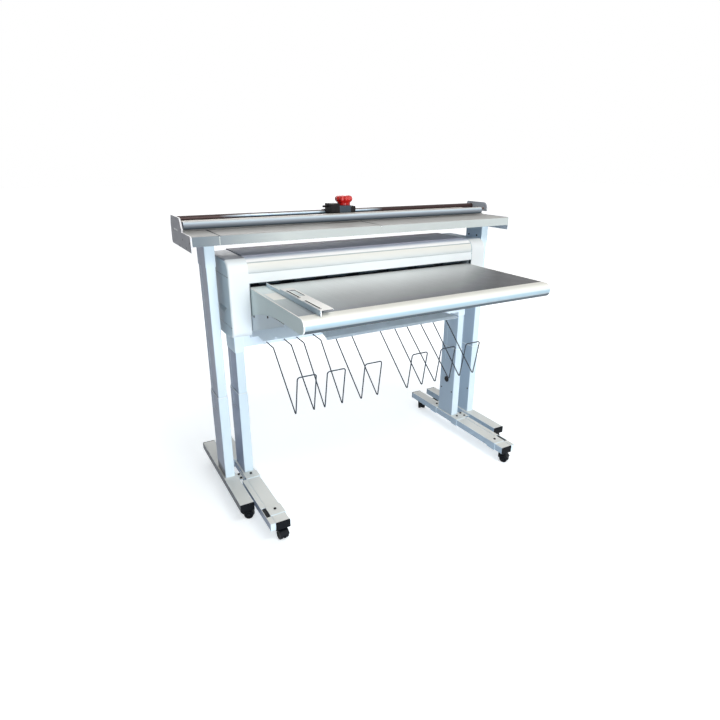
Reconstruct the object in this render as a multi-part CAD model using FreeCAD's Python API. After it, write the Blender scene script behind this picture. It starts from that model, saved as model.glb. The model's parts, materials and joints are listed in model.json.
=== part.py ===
import FreeCAD, Part
import math
import os

from FreeCAD import Vector

# Plan folding machine on a telescopic stand, with a rotary trimmer on a taller
# stand behind it. Millimetres, X to the right, Y to the rear, Z up.
# The origin is on the floor, under the middle of the whole object.

# Stands
foot_width = 60.0
foot_height = 35.0
foot_wall = 2.0
foot_under = 58.0
foot_top = foot_under + foot_height
foot_rear = 480.0
machine_foot_front = -305.0
trimmer_foot_front = -126.0
plug_flange = 4.0
plug_depth = 14.0

machine_mid = -10.0
machine_leg_mid = -12.0
machine_leg_half = 603.0
trimmer_leg_half = 704.0

column_width = 38.0
column_depth = 118.0
column_front = 110.0
column_wall = 3.0
column_mid_y = column_front + column_depth / 2
sleeve_width = 43.0
sleeve_depth = 123.0
sleeve_wall = 2.0
sleeve_top = 486.0
collar_height = 3.0
groove_width = 48.0
groove_depth = 1.2
column_bottom = 262.0
machine_column_top = 745.0
trimmer_column_top = 1171.5
socket_width = 42.0
socket_depth = 122.0
machine_socket_bottom = 678.0
trimmer_socket_bottom = 1048.0

# Castors
wheel_radius = 20.0
wheel_inner = 5.0
wheel_outer = 19.5
hood_inner = 21.5
hood_outer = 23.5
hood_half_width = 20.0
axle_radius = 3.0
running_gap = 0.05
castor_trail = 18.0
boss_radius = 13.0
stem_radius = 4.0
front_castor_y = {"machine": -272.0, "trimmer": -82.0}
rear_castor_y = 417.0
# Way that each castor has swivelled, in degrees from trailing straight to the front
castor_swivel = {
    "machine_front_left": 5.0,
    "machine_front_right": 30.0,
    "machine_rear_left": 185.0,
    "machine_rear_right": 150.0,
    "trimmer_front_left": 65.0,
    "trimmer_front_right": 40.0,
    "trimmer_rear_left": 120.0,
    "trimmer_rear_right": 190.0,
}

# Folding machine body
body_half = 652.0
cap_inner_half = 569.0
body_front = 30.0
body_rear = 330.0
body_bottom = 756.0
body_top = 1083.0
cap_radius = 50.0
cap_wall = 3.5
cap_edge_radius = 9.0
cap_bosses = ((296.0, 1036.0), (296.0, 782.0), (66.0, 866.0), (62.0, 1018.0))
frame_half = 564.0
frame_thickness = 4.0
sheet = 2.5
cover_wall = 3.0
cover_front = 34.0
cover_radius = 49.0
hinge_y = 88.0
hinge_z = 1075.0
hinge_knuckle = 8.0
hinge_pin = 4.0
lip_bottom = 985.0
lip_top = 1025.0
lip_front = 32.0
roof_top = 1086.0
roof_front = 97.5
inner_wall_y = 112.0
exit_bottom = 771.0
exit_top = 806.0

# Rollers: centre (y, z) and radius
feed_lower = (80.0, 946.3, 20.0)
feed_upper = (80.0, 987.0, 20.0)
fold_front = (150.0, 930.0, 25.0)
fold_rear = (200.7, 930.0, 25.0)
roller_half = 548.0
shaft_radius = 6.0
bearing_radius = 11.0
pulley_radius = 18.0
motor_pulley_radius = 10.0
motor_centre = (238.0, 842.0)
belt_gap = 0.3
belt_thickness = 2.0
pulley_start = 568.0
pulley_width = 10.0

# Feed table
table_top = 966.0
table_under = 948.0
table_half = 564.0
table_side = 5.0
nose_radius = 28.0
nose_centre_y = -456.0
nose_back = -432.0
table_back = 52.0

# Chute, ramp and catch basket
wire_radius = 2.5
wire_bend = 5.0
loop_width = 78.0
loop_centres = (-482.0, -357.0, -190.0, 38.0, 188.0, 326.0)
loop_skews = (0.0, 10.0, -9.0, -14.0, -19.0, -8.0)
loop_root = (112.0, 736.0)
loop_knee = (-47.0, 731.0)
loop_valley = (-258.0, 520.0)
loop_crest = (-287.0, 686.0)
chute_lip_y = 28.0
ramp_left = -285.0
ramp_right = 425.0
beam_front = 112.0
beam_rear = 152.0
beam_bottom = 698.0
beam_top = 740.0

# Trimmer
trimmer_half = 788.0
end_plate = 6.0
trimmer_front = 30.0
trimmer_rear = 365.0
trimmer_top = 1180.0
apron_bottom = 1143.0
table_seams = (-680.0, 35.0)
seam_gap = 4.0
end_plate_screws = ((54.0, 1154.0), (167.0, 1155.0), (111.0, 1129.0), (231.0, 1126.0), (337.0, 1219.0))
screw_head_radius = 4.7
screw_radius = 2.6
bar_centre = (320.0, 1216.0)
bar_radius = 14.0
bar_wall = 3.0
clamp_centre = (200.0, 1203.0)
clamp_radius = 16.0
clamp_ends = (-775.0, 742.0)
clamp_strip_end = 640.0
clamp_lift = 5.6
pin_centre = (219.0, 1210.0)
pin_radius = 4.0
rail_top = 1184.0
counter_top = 1186.0
counter_back = 243.8
carriage_x = -18.0
knob_y = 285.0
knob_seat = 1250.0
blade_radius = 24.0
blade_front = 244.2
blade_thickness = 1.5
blade_z = 1208.0
guide_x = -500.0


def rounded_edges(points, radii, closed):
    """Straight runs between the points, with a tangent arc of the given radius at each."""
    count = len(points)
    edges = []
    ends = []
    for i, corner in enumerate(points):
        radius = radii[i]
        if radius == 0 or (not closed and i in (0, count - 1)):
            ends.append((corner, corner, None))
            continue
        back = (points[i - 1] - corner).normalize()
        ahead = (points[(i + 1) % count] - corner).normalize()
        half_angle = back.getAngle(ahead) / 2
        reach = radius / math.tan(half_angle)
        middle = (back + ahead).normalize() * (radius / math.sin(half_angle) - radius)
        ends.append((corner + back * reach, corner + ahead * reach, corner + middle))
    for i in range(count):
        start, finish, middle = ends[i]
        if middle is not None:
            edges.append(Part.Arc(start, middle, finish).toShape())
        if closed or i < count - 1:
            following = ends[(i + 1) % count][0]
            if (following - finish).Length > 1e-6:
                edges.append(Part.LineSegment(finish, following).toShape())
    return Part.Wire(edges)


def radius_list(points, radii):
    """One radius for each point: 0 unless the dictionary names the point's index."""
    return [(radii or {}).get(i, 0) for i in range(len(points))]


def prism_x(outline, x0, x1, radii=None):
    """Outline of (y, z) points, extruded from x0 to x1."""
    points = [Vector(x0, y, z) for y, z in outline]
    face = Part.Face(rounded_edges(points, radius_list(points, radii), True))
    return face.extrude(Vector(x1 - x0, 0, 0))


def prism_y(outline, y0, y1, radii=None):
    """Outline of (x, z) points, extruded from y0 to y1."""
    points = [Vector(x, y0, z) for x, z in outline]
    face = Part.Face(rounded_edges(points, radius_list(points, radii), True))
    return face.extrude(Vector(0, y1 - y0, 0))


def prism_z(outline, z0, z1, radii=None):
    """Outline of (x, y) points, extruded from z0 to z1."""
    points = [Vector(x, y, z0) for x, y in outline]
    face = Part.Face(rounded_edges(points, radius_list(points, radii), True))
    return face.extrude(Vector(0, 0, z1 - z0))


def block(x0, x1, y0, y1, z0, z1):
    return Part.makeBox(x1 - x0, y1 - y0, z1 - z0, Vector(x0, y0, z0))


def rod_x(y, z, radius, x0, x1):
    return Part.makeCylinder(radius, x1 - x0, Vector(x0, y, z), Vector(1, 0, 0))


def rod_y(x, z, radius, y0, y1):
    return Part.makeCylinder(radius, y1 - y0, Vector(x, y0, z), Vector(0, 1, 0))


def rod_z(x, y, radius, z0, z1):
    return Part.makeCylinder(radius, z1 - z0, Vector(x, y, z0), Vector(0, 0, 1))


def rectangle(x_mid, y_mid, width, depth):
    x0 = x_mid - width / 2
    y0 = y_mid - depth / 2
    return [(x0, y0), (x0 + width, y0), (x0 + width, y0 + depth), (x0, y0 + depth)]


def corners(radius):
    return {i: radius for i in range(4)}


def upright_tube(x_mid, width, depth, wall, z0, z1):
    """Rectangular tube standing on the column's centre line."""
    outer = prism_z(rectangle(x_mid, column_mid_y, width, depth), z0, z1, corners(4.0))
    inner_size = (width - 2 * wall, depth - 2 * wall)
    inner = prism_z(rectangle(x_mid, column_mid_y, *inner_size), z0 - 1, z1 + 1, corners(2.0))
    return outer.cut(inner)


def side_grooves(x_mid, width, z0, z1):
    """Shallow vertical channels in the two side faces of a column."""
    y0 = column_mid_y - groove_width / 2
    y1 = column_mid_y + groove_width / 2
    half = width / 2
    left = block(x_mid - half - 1, x_mid - half + groove_depth, y0, y1, z0, z1)
    right = block(x_mid + half - groove_depth, x_mid + half + 1, y0, y1, z0, z1)
    return left.fuse(right)


def save(name, *solids):
    shape = solids[0] if len(solids) == 1 else Part.Compound(list(solids))
    shape.exportStep("parts/" + name + ".step")


# Stands: legs, plugs, brackets and couplers
def leg(x_mid, foot_front):
    """Foot tube with the outer sleeve of the column welded on it."""
    half = foot_width / 2
    outline = [(x_mid - half, foot_under), (x_mid + half, foot_under)]
    outline += [(x_mid + half, foot_top), (x_mid - half, foot_top)]
    tube = prism_y(outline, foot_front, foot_rear, corners(3.0))
    inner = block(x_mid - half + foot_wall, x_mid + half - foot_wall, foot_front - 1,
                  foot_rear + 1, foot_under + foot_wall, foot_top - foot_wall)
    tube = tube.cut(inner)
    sleeve = upright_tube(x_mid, sleeve_width, sleeve_depth, sleeve_wall, foot_top, sleeve_top)
    sleeve = sleeve.cut(side_grooves(x_mid, sleeve_width, sleeve_top - 76, sleeve_top + 1))
    return tube.fuse(sleeve)


def stem_holes(shape, x_mid, kind):
    for y in (front_castor_y[kind], rear_castor_y):
        hole = rod_z(x_mid, y, stem_radius + running_gap, foot_under - 1, foot_under + foot_wall + 1)
        shape = shape.cut(hole)
    return shape


def end_plug(x_mid, y_face, inward):
    """Black plug in a foot tube's end; inward is +1 at the front and -1 at the rear."""
    half = foot_width / 2
    outline = [(x_mid - half, foot_under), (x_mid + half, foot_under)]
    outline += [(x_mid + half, foot_top), (x_mid - half, foot_top)]
    y0, y1 = sorted((y_face, y_face - inward * plug_flange))
    flange = prism_y(outline, y0, y1, corners(3.0))
    inset = foot_wall + 0.2
    y0, y1 = sorted((y_face, y_face + inward * plug_depth))
    insert = block(x_mid - half + inset, x_mid + half - inset, y0, y1,
                   foot_under + inset, foot_top - inset)
    return flange.fuse(insert)


def saddle(x_mid, y0, y1):
    """Clamp bent over the foot tube, its skirts reaching just below it with tapered rear ends."""
    skin = 2.5
    drop = 2.0
    outer = foot_width / 2 + skin
    low = foot_under - drop
    rise = foot_top + skin
    skirt = [(y0, low), (y1 - 14, low), (y1, foot_under + 8), (y1, rise), (y0, rise)]
    body = prism_x(skirt, x_mid - outer, x_mid + outer)
    hollow = block(x_mid - foot_width / 2, x_mid + foot_width / 2, y0 - 1, y1 + 1, low - 1, foot_top)
    return body.cut(hollow)


def side_duct(x_inner, outward):
    """Angle-shaped cover along the outer side of a machine foot, closed at its front."""
    skin = 2.0
    width = 22.0
    y0 = machine_foot_front
    y1 = 50.0
    x_outer = x_inner + outward * width
    xs = sorted((x_inner, x_outer))
    wall_x = sorted((x_outer, x_outer - outward * skin))
    top = block(xs[0], xs[1], y0, y1, foot_top - skin, foot_top)
    top = top.cut(block(xs[0] - 1, xs[1] + 1, -256, -190, foot_top - skin - 1, foot_top + 1))
    wall = block(wall_x[0], wall_x[1], y0, y1, foot_under + 2, foot_top)
    nose = block(xs[0], xs[1], y0, y0 + skin, foot_under + 2, foot_top)
    return top.fuse(wall).fuse(nose)


def bolt_head(x, y, z):
    head = rod_z(x, y, 6.0, z, z + 2.5)
    head = head.fuse(Part.makeCone(6.0, 4.4, 1.5, Vector(x, y, z + 2.5)))
    socket = prism_z([(x + 2.6 * math.cos(math.pi / 3 * k), y + 2.6 * math.sin(math.pi / 3 * k))
                      for k in range(6)], z + 2.0, z + 5.0)
    return head.cut(socket)


def coupler(x0, x1):
    """H-shaped bracket between a machine foot and the trimmer foot beside it."""
    skin = 3.0
    y0 = 78.0
    y1 = 136.0
    web = block(x0, x1, y0, y1, 80.0, 80.0 + skin)
    left = block(x0, x0 + skin, y0, y1, foot_under + 4, 90.0)
    right = block(x1 - skin, x1, y0, y1, foot_under + 4, 90.0)
    return web.fuse(left).fuse(right)


def lock_bolt(x_face, inward):
    """Clamping bolt in a round rim on the inner face of a machine sleeve."""
    y = column_mid_y
    z = 296.0
    step = 4.0 * inward
    x0, x1 = sorted((x_face, x_face + step))
    well_x = sorted((x_face + inward, x_face + 9 * inward))
    rim = rod_x(y, z, 16.0, x0, x1).cut(rod_x(y, z, 11.5, well_x[0], well_x[1]))
    stub = rod_x(y, z, 6.0, x0, x1)
    return rim.fuse(stub)


def collar(x_mid):
    """White plastic glide ring on the mouth of a sleeve."""
    z1 = sleeve_top + collar_height
    ring = prism_z(rectangle(x_mid, column_mid_y, sleeve_width + 0.6, sleeve_depth + 0.6),
                   sleeve_top, z1, corners(4.0))
    hole = prism_z(rectangle(x_mid, column_mid_y, column_width + 0.6, column_depth + 0.6),
                   sleeve_top - 1, z1 + 1, corners(4.0))
    return ring.cut(hole)


def make_stands():
    machine_x = {"left": machine_leg_mid - machine_leg_half, "right": machine_leg_mid + machine_leg_half}
    trimmer_x = {"left": -trimmer_leg_half, "right": trimmer_leg_half}
    plugs = []
    clamps = []
    bolts = []
    collars = []
    for side, outward in (("left", -1), ("right", 1)):
        x = machine_x[side]
        save("machine_leg_" + side, stem_holes(leg(x, machine_foot_front), x, "machine"))
        plugs += [end_plug(x, machine_foot_front, 1), end_plug(x, foot_rear, -1)]
        for y0, y1 in ((-254.0, -190.0), (50.0, 106.0), (236.0, 298.0)):
            clamps.append(saddle(x, y0, y1))
            bolts.append(bolt_head(x, y0 + 36, foot_top + 2.5))
        clamps.append(side_duct(x + outward * foot_width / 2, outward))
        bolts.append(lock_bolt(x - outward * sleeve_width / 2, -outward))
        collars.append(collar(x))
        x = trimmer_x[side]
        save("trimmer_leg_" + side, stem_holes(leg(x, trimmer_foot_front), x, "trimmer"))
        plugs += [end_plug(x, trimmer_foot_front, 1), end_plug(x, foot_rear, -1)]
        collars.append(collar(x))
    saddle_half = foot_width / 2 + 2.5
    gaps = [(trimmer_x["left"] + foot_width / 2, machine_x["left"] - saddle_half)]
    gaps.append((machine_x["right"] + saddle_half, trimmer_x["right"] - foot_width / 2))
    couplers = []
    for x0, x1 in gaps:
        couplers.append(coupler(x0, x1))
        for y in (90.0, 124.0):
            bolts.append(bolt_head((x0 + x1) / 2, y, 83.0))
    save("foot_end_plugs", *plugs)
    save("foot_brackets", *clamps)
    save("stand_bolts", *bolts)
    save("stand_couplers", *couplers)
    save("glide_collars", *collars)


# Castors
def castor_fork(x, y):
    """Swivel body, trailing to the front: stem, thrust boss, hood and the web between the wheels."""
    axle_y = y - castor_trail
    z = wheel_radius
    hood = rod_x(axle_y, z, hood_outer, x - hood_half_width, x + hood_half_width)
    hood = hood.cut(rod_x(axle_y, z, hood_inner, x - 30, x + 30))
    hood = hood.common(block(x - 30, x + 30, axle_y - 40, axle_y + 40, z + 6, z + 40))
    web = rod_x(axle_y, z, hood_outer, x - wheel_inner + 0.7, x + wheel_inner - 0.7)
    web = web.common(block(x - 30, x + 30, axle_y - 40, axle_y + 40, z - 9, z + 40))
    boss = rod_z(x, y, boss_radius, z, foot_under - 0.3).cut(rod_x(axle_y, z, hood_inner, x - 30, x + 30))
    stem = rod_z(x, y, stem_radius, foot_under - 2, foot_under + 20)
    body = hood.fuse(web).fuse(boss).fuse(stem)
    return body.cut(rod_x(axle_y, z, axle_radius + running_gap, x - 30, x + 30))


def castor_wheels(x, y):
    """Twin wheels on one axle, with dished outer faces."""
    axle_y = y - castor_trail
    side = -wheel_outer
    gap = -wheel_inner
    profile = [(side, 0), (side, 5), (side + 2, 7), (side + 2, 13), (side, 15), (side, wheel_radius - 2)]
    profile += [(side + 3, wheel_radius), (gap - 1, wheel_radius), (gap, wheel_radius - 1)]
    profile += [(gap, axle_radius)]
    profile += [(-px, r) for px, r in reversed(profile)]
    points = [Vector(x + px, axle_y + r, wheel_radius) for px, r in profile]
    face = Part.Face(rounded_edges(points, radius_list(points, None), True))
    return face.revolve(Vector(x, axle_y, wheel_radius), Vector(1, 0, 0), 360)


def make_castors():
    places = {"machine": (machine_leg_mid, machine_leg_half), "trimmer": (0.0, trimmer_leg_half)}
    for kind, (mid, half) in places.items():
        for side, sign in (("left", -1), ("right", 1)):
            for end, y in (("front", front_castor_y[kind]), ("rear", rear_castor_y)):
                label = kind + "_" + end + "_" + side
                x = mid + sign * half
                stem = Vector(x, y, 0)
                angle = castor_swivel[label]
                save("castor_fork_" + label, castor_fork(x, y).rotate(stem, Vector(0, 0, 1), angle))
                save("castor_wheels_" + label, castor_wheels(x, y).rotate(stem, Vector(0, 0, 1), angle))


# Machine stand top: columns and welded crossbeam
def column(x_mid, z1):
    tube = upright_tube(x_mid, column_width, column_depth, column_wall, column_bottom, z1)
    return tube.cut(side_grooves(x_mid, column_width, column_bottom - 1, z1 + 1))


def socket(x_mid, z0, z1):
    outer = prism_z(rectangle(x_mid, column_mid_y, socket_width, socket_depth), z0, z1, corners(4.0))
    inner = prism_z(rectangle(x_mid, column_mid_y, column_width, column_depth), z0 - 1, z1 + 1,
                    corners(4.0))
    return outer.cut(inner)


def wire_positions():
    roots = [centre + skew for centre, skew in zip(loop_centres, loop_skews)]
    return [root + side * loop_width / 2 for root in roots for side in (-1, 1)]


def crossbeam():
    """Box beam with a socket over each column and a pad for the machine on top."""
    x0 = machine_leg_mid - machine_leg_half
    x1 = machine_leg_mid + machine_leg_half
    inner = socket_width / 2
    skin = 3.0
    beam = block(x0 + inner - 1, x1 - inner + 1, beam_front, beam_rear, beam_bottom, beam_top)
    hollow = block(x0 + inner - 1, x1 - inner + 1, beam_front + skin, beam_rear - skin,
                   beam_bottom + skin, beam_top - skin)
    beam = beam.cut(hollow)
    frame = beam
    for x, inward in ((x0, 1), (x1, -1)):
        frame = frame.fuse(socket(x, machine_socket_bottom, machine_column_top))
        pad_x = sorted((x - inward * inner, x + inward * 72))
        frame = frame.fuse(block(pad_x[0], pad_x[1], 104, 236, machine_column_top, machine_column_top + 5))
        arm_x = sorted((x + inward * inner, x + inward * 60))
        gusset = block(arm_x[0], arm_x[1], beam_front, beam_rear, beam_top - 1, machine_column_top)
        frame = frame.fuse(gusset)
    return frame.removeSplitter()


# Chute, ramp and catch basket
def chute_tray():
    """Sloping sheet floor with a front lip, hung between two tapering side arms."""
    x0 = machine_mid - table_half
    x1 = machine_mid + table_half
    skin = 2.0
    lip = chute_lip_y
    floor_line = [(lip, 727.0), (lip + skin, 727.0), (lip + skin, 737.1), (96.0, 765.0), (110.0, 770.0)]
    screw_hole = (-476.0, 36.0)
    slot = (-531.0, 37.0)
    floor_line += [(110.0, 772.2), (95.0, 767.2), (lip, 739.3)]
    floor = prism_x(floor_line, x0, x1)
    for side in (-1, 1):
        edge = machine_mid + side * table_half
        notch = [(edge + side, 20.0), (edge + side, 62.0)]
        notch += [(edge - side * 32, 62.0), (edge - side * 42, 20.0)]
        floor = floor.cut(prism_z(notch, 700.0, 790.0))
    floor = floor.cut(rod_z(screw_hole[0], screw_hole[1], 5.0, 736.0, 750.0))
    floor = floor.cut(obround(slot[0], slot[1] - 3, slot[1] + 3, 2.0, 736.0, 750.0))
    fall = (loop_knee[1] - loop_root[1]) / (loop_knee[0] - loop_root[0])
    wire_z = loop_root[1] + (lip - loop_root[0]) * fall
    for wire in wire_positions():
        floor = floor.cut(rod_y(wire, wire_z, wire_radius + 0.5, lip - 2, lip + skin + 2))
    tray = floor
    for side in (-1, 1):
        near = machine_mid + side * table_half
        arm_x = sorted((near, near + side * skin))
        tray = tray.fuse(chute_arm(arm_x[0], arm_x[1]))
    return tray


def chute_arm(x0, x1):
    """Arm with an arched top edge, deep at the rear and tapering to a point at the front."""
    tip = Vector(x0, -320.0, 907.0)
    crown = Vector(x0, -66.0, 883.0)
    top_back = Vector(x0, 110.0, 817.0)
    low = [Vector(x0, 110.0, 764.0), Vector(x0, 62.0, 748.0)]
    low += [Vector(x0, 50.0, 783.0), Vector(x0, -320.0, 903.0)]
    edges = [Part.Arc(tip, crown, top_back).toShape()]
    chain = [top_back] + low + [tip]
    for a, b in zip(chain, chain[1:]):
        edges.append(Part.LineSegment(a, b).toShape())
    face = Part.Face(Part.Wire(edges))
    return face.extrude(Vector(x1 - x0, 0, 0))


def chute_ramp():
    """Sheet that carries the folded plans from the chute's lip over the wires, nosed down in front."""
    rear = chute_lip_y
    front = -62.5
    outline = [(rear, 739.2), (rear, 737.4), (-44.4, 735.2), (front + 1.3, 729.6), (front, 730.6)]
    outline += [(-45.0, 736.9)]
    sheet_part = prism_x(outline, ramp_left, ramp_right, {2: 4.0, 5: 6.0})
    for edge, side in ((ramp_left, 1), (ramp_right, -1)):
        flare = [(edge - side, rear + 1), (edge + side * 17, rear + 1), (edge - side, front)]
        sheet_part = sheet_part.cut(prism_z(flare, 720.0, 745.0))
    return sheet_part


def wire_loop(x_mid, skew):
    """One bent rod: root, knee, down to the valley, up and over the crest, and back the same way."""
    line = [(skew, loop_root), (skew, loop_knee), (0, loop_valley), (0, loop_crest)]
    half = loop_width / 2
    points = [Vector(x_mid + lean - half, y, z) for lean, (y, z) in line]
    points += [Vector(x_mid + lean + half, y, z) for lean, (y, z) in reversed(line)]
    radii = [0, 12.0, wire_bend, 10.0, 10.0, wire_bend, 12.0, 0]
    path = rounded_edges(points, radii, False)
    start = (points[1] - points[0]).normalize()
    section = Part.Wire(Part.makeCircle(wire_radius, points[0], start))
    return path.makePipeShell([section], True, True)


# Machine body
def cap_outline(inset):
    """Outline of an end cap: (y, z) points and corner radii, moved inward by inset."""
    front = body_front + inset
    rear = body_rear - inset
    low = body_bottom + inset
    top = body_top - inset
    points = [(front, 770.0 + inset), (131.0, low), (rear, low), (rear, top), (front, top)]
    return points, {0: 26.0 - inset, 1: 60.0, 2: 20.0 - inset, 3: 34.0 - inset, 4: cap_radius - inset}


def grip_tool(x_face, inward):
    """Scoop with a straight upper edge and an arched lower edge, deepest along the top."""
    top_z = 886.0
    drop = 26.0
    radius = 140.0
    tilt = math.radians(60)
    direction = Vector(inward * math.cos(tilt), 0, math.sin(tilt))
    base = Vector(x_face, 135.0, top_z - drop + radius / math.cos(tilt))
    scoop = Part.makeCylinder(radius, 600, base - direction * 300, direction)
    xs = sorted((x_face - inward * 5, x_face + inward * 40))
    return scoop.common(block(xs[0], xs[1], 50, 220, top_z - 60, top_z))


def end_cap(side):
    """Moulded shell open towards the machine, with parting lines and a grip in its side."""
    x_in = machine_mid + side * cap_inner_half
    x_out = machine_mid + side * body_half
    outline, radii = cap_outline(0.0)
    shell = prism_x(outline, x_in, x_out, radii)
    rim = [edge for edge in shell.Edges if edge.BoundBox.XLength < 1e-3
           and abs(edge.BoundBox.XMin - x_out) < 1e-3]
    shell = shell.makeFillet(cap_edge_radius, rim)
    outline, radii = cap_outline(cap_wall)
    cavity = prism_x(outline, x_in - side, x_out - side * cap_wall, radii)
    pocket_x = sorted((x_out - side * 24, x_out))
    cavity = cavity.cut(block(pocket_x[0], pocket_x[1], 48, 222, 852, 892))
    shell = shell.cut(cavity)
    for z in (1017.0, 812.0):
        groove_x = sorted((x_out - side, x_out + side))
        shell = shell.cut(block(groove_x[0], groove_x[1], 20, 340, z - 0.7, z + 0.7))
    for y, z in cap_bosses:
        boss_x = sorted((x_out - side * 2, machine_mid + side * frame_half))
        shell = shell.fuse(rod_x(y, z, 6.0, boss_x[0], boss_x[1]))
    relief = prism_z([(x_out - side * 38, 100), (x_out - side * 76, 100), (x_out - side * 76, 240),
                      (x_out - side * 38, 240)], 740, 762)
    shell = shell.cut(relief)
    return shell.cut(grip_tool(x_out, -side))


def front_cover():
    """Curved hinged cover; its rear edge is rolled into a knuckle, and a fine groove marks its band."""
    x0 = machine_mid - cap_inner_half + 0.6
    x1 = machine_mid + cap_inner_half - 0.6
    top = hinge_z + hinge_knuckle
    outline = [(hinge_y, top), (cover_front, top), (cover_front, lip_top + 1.0)]
    outline += [(cover_front + cover_wall, lip_top + 1.0), (cover_front + cover_wall, top - cover_wall)]
    outline += [(hinge_y, top - cover_wall)]
    radii = {1: cover_radius, 4: cover_radius - cover_wall}
    shell = prism_x(outline, x0, x1, radii)
    arc_y = cover_front + cover_radius
    arc_z = top - cover_radius
    seam = math.radians(140)
    seam_y = arc_y + cover_radius * math.cos(seam)
    seam_z = arc_z + cover_radius * math.sin(seam)
    shell = shell.cut(rod_x(seam_y, seam_z, 0.9, x0, x1))
    knuckle_half = frame_half - frame_thickness - 2
    knuckle = rod_x(hinge_y, hinge_z, hinge_knuckle, machine_mid - knuckle_half, machine_mid + knuckle_half)
    bore = rod_x(hinge_y, hinge_z, hinge_pin + running_gap, x0 - 1, x1 + 1)
    return shell.fuse(knuckle).cut(bore)


def feed_lip():
    """White lip along the cover's lower edge, with a tongue behind the cover."""
    x0 = machine_mid - cap_inner_half + 0.6
    x1 = machine_mid + cap_inner_half - 0.6
    tongue = cover_front + cover_wall
    outline = [(lip_front, lip_bottom), (44.0, lip_bottom), (44.0, lip_bottom + 3)]
    outline += [(lip_front + 3, lip_bottom + 3)]
    outline += [(lip_front + 3, 1018.0), (tongue + 2, 1022.0), (tongue + 2, 1033.0), (tongue, 1033.0)]
    outline += [(tongue, lip_top), (lip_front, lip_top)]
    return prism_x(outline, x0, x1, {0: 5.0, 3: 2.0})


def top_cover():
    """Dark sheet roof with a front hem and a rolled-down rear edge."""
    x0 = machine_mid - cap_inner_half
    x1 = machine_mid + cap_inner_half
    outline = [(roof_front, 1070.0), (roof_front + sheet, 1070.0), (roof_front + sheet, roof_top - sheet)]
    outline += [(body_rear - 2 - sheet, roof_top - sheet), (body_rear - 2 - sheet, 962.0)]
    outline += [(body_rear - 2, 962.0), (body_rear - 2, roof_top), (roof_front, roof_top)]
    return prism_x(outline, x0, x1, {2: 2.0, 3: 14.0, 6: 16.5, 7: 4.0})


def base_pan():
    """Bottom sheet with a rear wall and a low lip, over which the folded plans leave."""
    x0 = machine_mid - frame_half + frame_thickness
    x1 = machine_mid + frame_half - frame_thickness
    rear = body_rear - 2
    front = inner_wall_y
    low = body_bottom
    outline = [(front, low), (rear, low), (rear, 961.5), (rear - sheet, 961.5), (rear - sheet, low + sheet)]
    outline += [(front + sheet, low + sheet), (front + sheet, exit_bottom), (front, exit_bottom)]
    return prism_x(outline, x0, x1, {0: 3.0, 1: 16.0, 4: 13.5})


def inner_wall():
    """Sheet between the side frames, above the exit slot, with its lower edge turned inward."""
    x0 = machine_mid - frame_half + frame_thickness
    x1 = machine_mid + frame_half - frame_thickness
    front = inner_wall_y
    outline = [(front, exit_top), (front + 10, exit_top), (front + 10, exit_top + sheet)]
    outline += [(front + sheet, exit_top + sheet), (front + sheet, 900.0), (front, 900.0)]
    return prism_x(outline, x0, x1, {0: 3.0})


def side_frame(side):
    """Steel plate that carries the roller bearings, the motor and the cover's hinge pin."""
    x_out = machine_mid + side * frame_half
    x_in = x_out - side * frame_thickness
    xs = sorted((x_in, x_out))
    outline = [(46.0, 812.0), (111.0, 790.0), (111.0, 750.0)]
    outline += [(316.0, 750.0), (316.0, 1066.0), (46.0, 1066.0)]
    plate = prism_x(outline, xs[0], xs[1], {2: 4.0, 3: 12.0, 4: 20.0, 5: 40.0})
    ear = prism_x([(hinge_y - 4.4, 1050.0), (hinge_y + 4.4, 1050.0), (hinge_y + 4.4, hinge_z + 4.4),
                   (hinge_y - 4.4, hinge_z + 4.4)], xs[0], xs[1], {2: 4.3, 3: 4.3})
    plate = plate.fuse(ear)
    for y, z, radius in (feed_lower, feed_upper, fold_front, fold_rear):
        plate = plate.cut(rod_x(y, z, bearing_radius, xs[0] - 1, xs[1] + 1))
    plate = plate.cut(rod_x(motor_centre[0], motor_centre[1], 8.0, xs[0] - 1, xs[1] + 1))
    window = [(140, 990), (285, 990), (285, 1040), (140, 1040)]
    plate = plate.cut(prism_x(window, xs[0] - 1, xs[1] + 1, corners(12.0)))
    pin_x = sorted((x_in, x_in - side * 22))
    return plate.fuse(rod_x(hinge_y, hinge_z, hinge_pin, pin_x[0] - 1, pin_x[1] + 1))


def bearing(y, z, side):
    x_out = machine_mid + side * (frame_half + 2)
    x_in = machine_mid + side * (frame_half - 6)
    x0, x1 = sorted((x_in, x_out))
    return rod_x(y, z, bearing_radius, x0, x1).cut(rod_x(y, z, shaft_radius + running_gap, x0 - 1, x1 + 1))


def roller(place, bands=None, pulley=False):
    """Roller with its shaft; bands gives separate rubber rings on a thinner core."""
    y, z, radius = place
    half = roller_half
    core = radius if bands is None else radius - 5
    body = rod_x(y, z, core, machine_mid - half, machine_mid + half)
    if bands is not None:
        pitch = 2 * half / bands
        for i in range(bands):
            mid = machine_mid - half + pitch * (i + 0.5)
            body = body.fuse(rod_x(y, z, radius, mid - pitch * 0.3, mid + pitch * 0.3))
    end = frame_half + 4
    body = body.fuse(rod_x(y, z, shaft_radius, machine_mid - end, machine_mid + end + 2))
    if pulley:
        body = body.fuse(flanged_pulley(y, z, pulley_radius))
    return body


def flanged_pulley(y, z, radius):
    x0 = machine_mid + pulley_start
    x1 = x0 + pulley_width
    body = rod_x(y, z, radius, x0, x1)
    body = body.fuse(rod_x(y, z, radius + 4, x0 - 1.5, x0))
    return body.fuse(rod_x(y, z, radius + 4, x1, x1 + 1.5))


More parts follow.
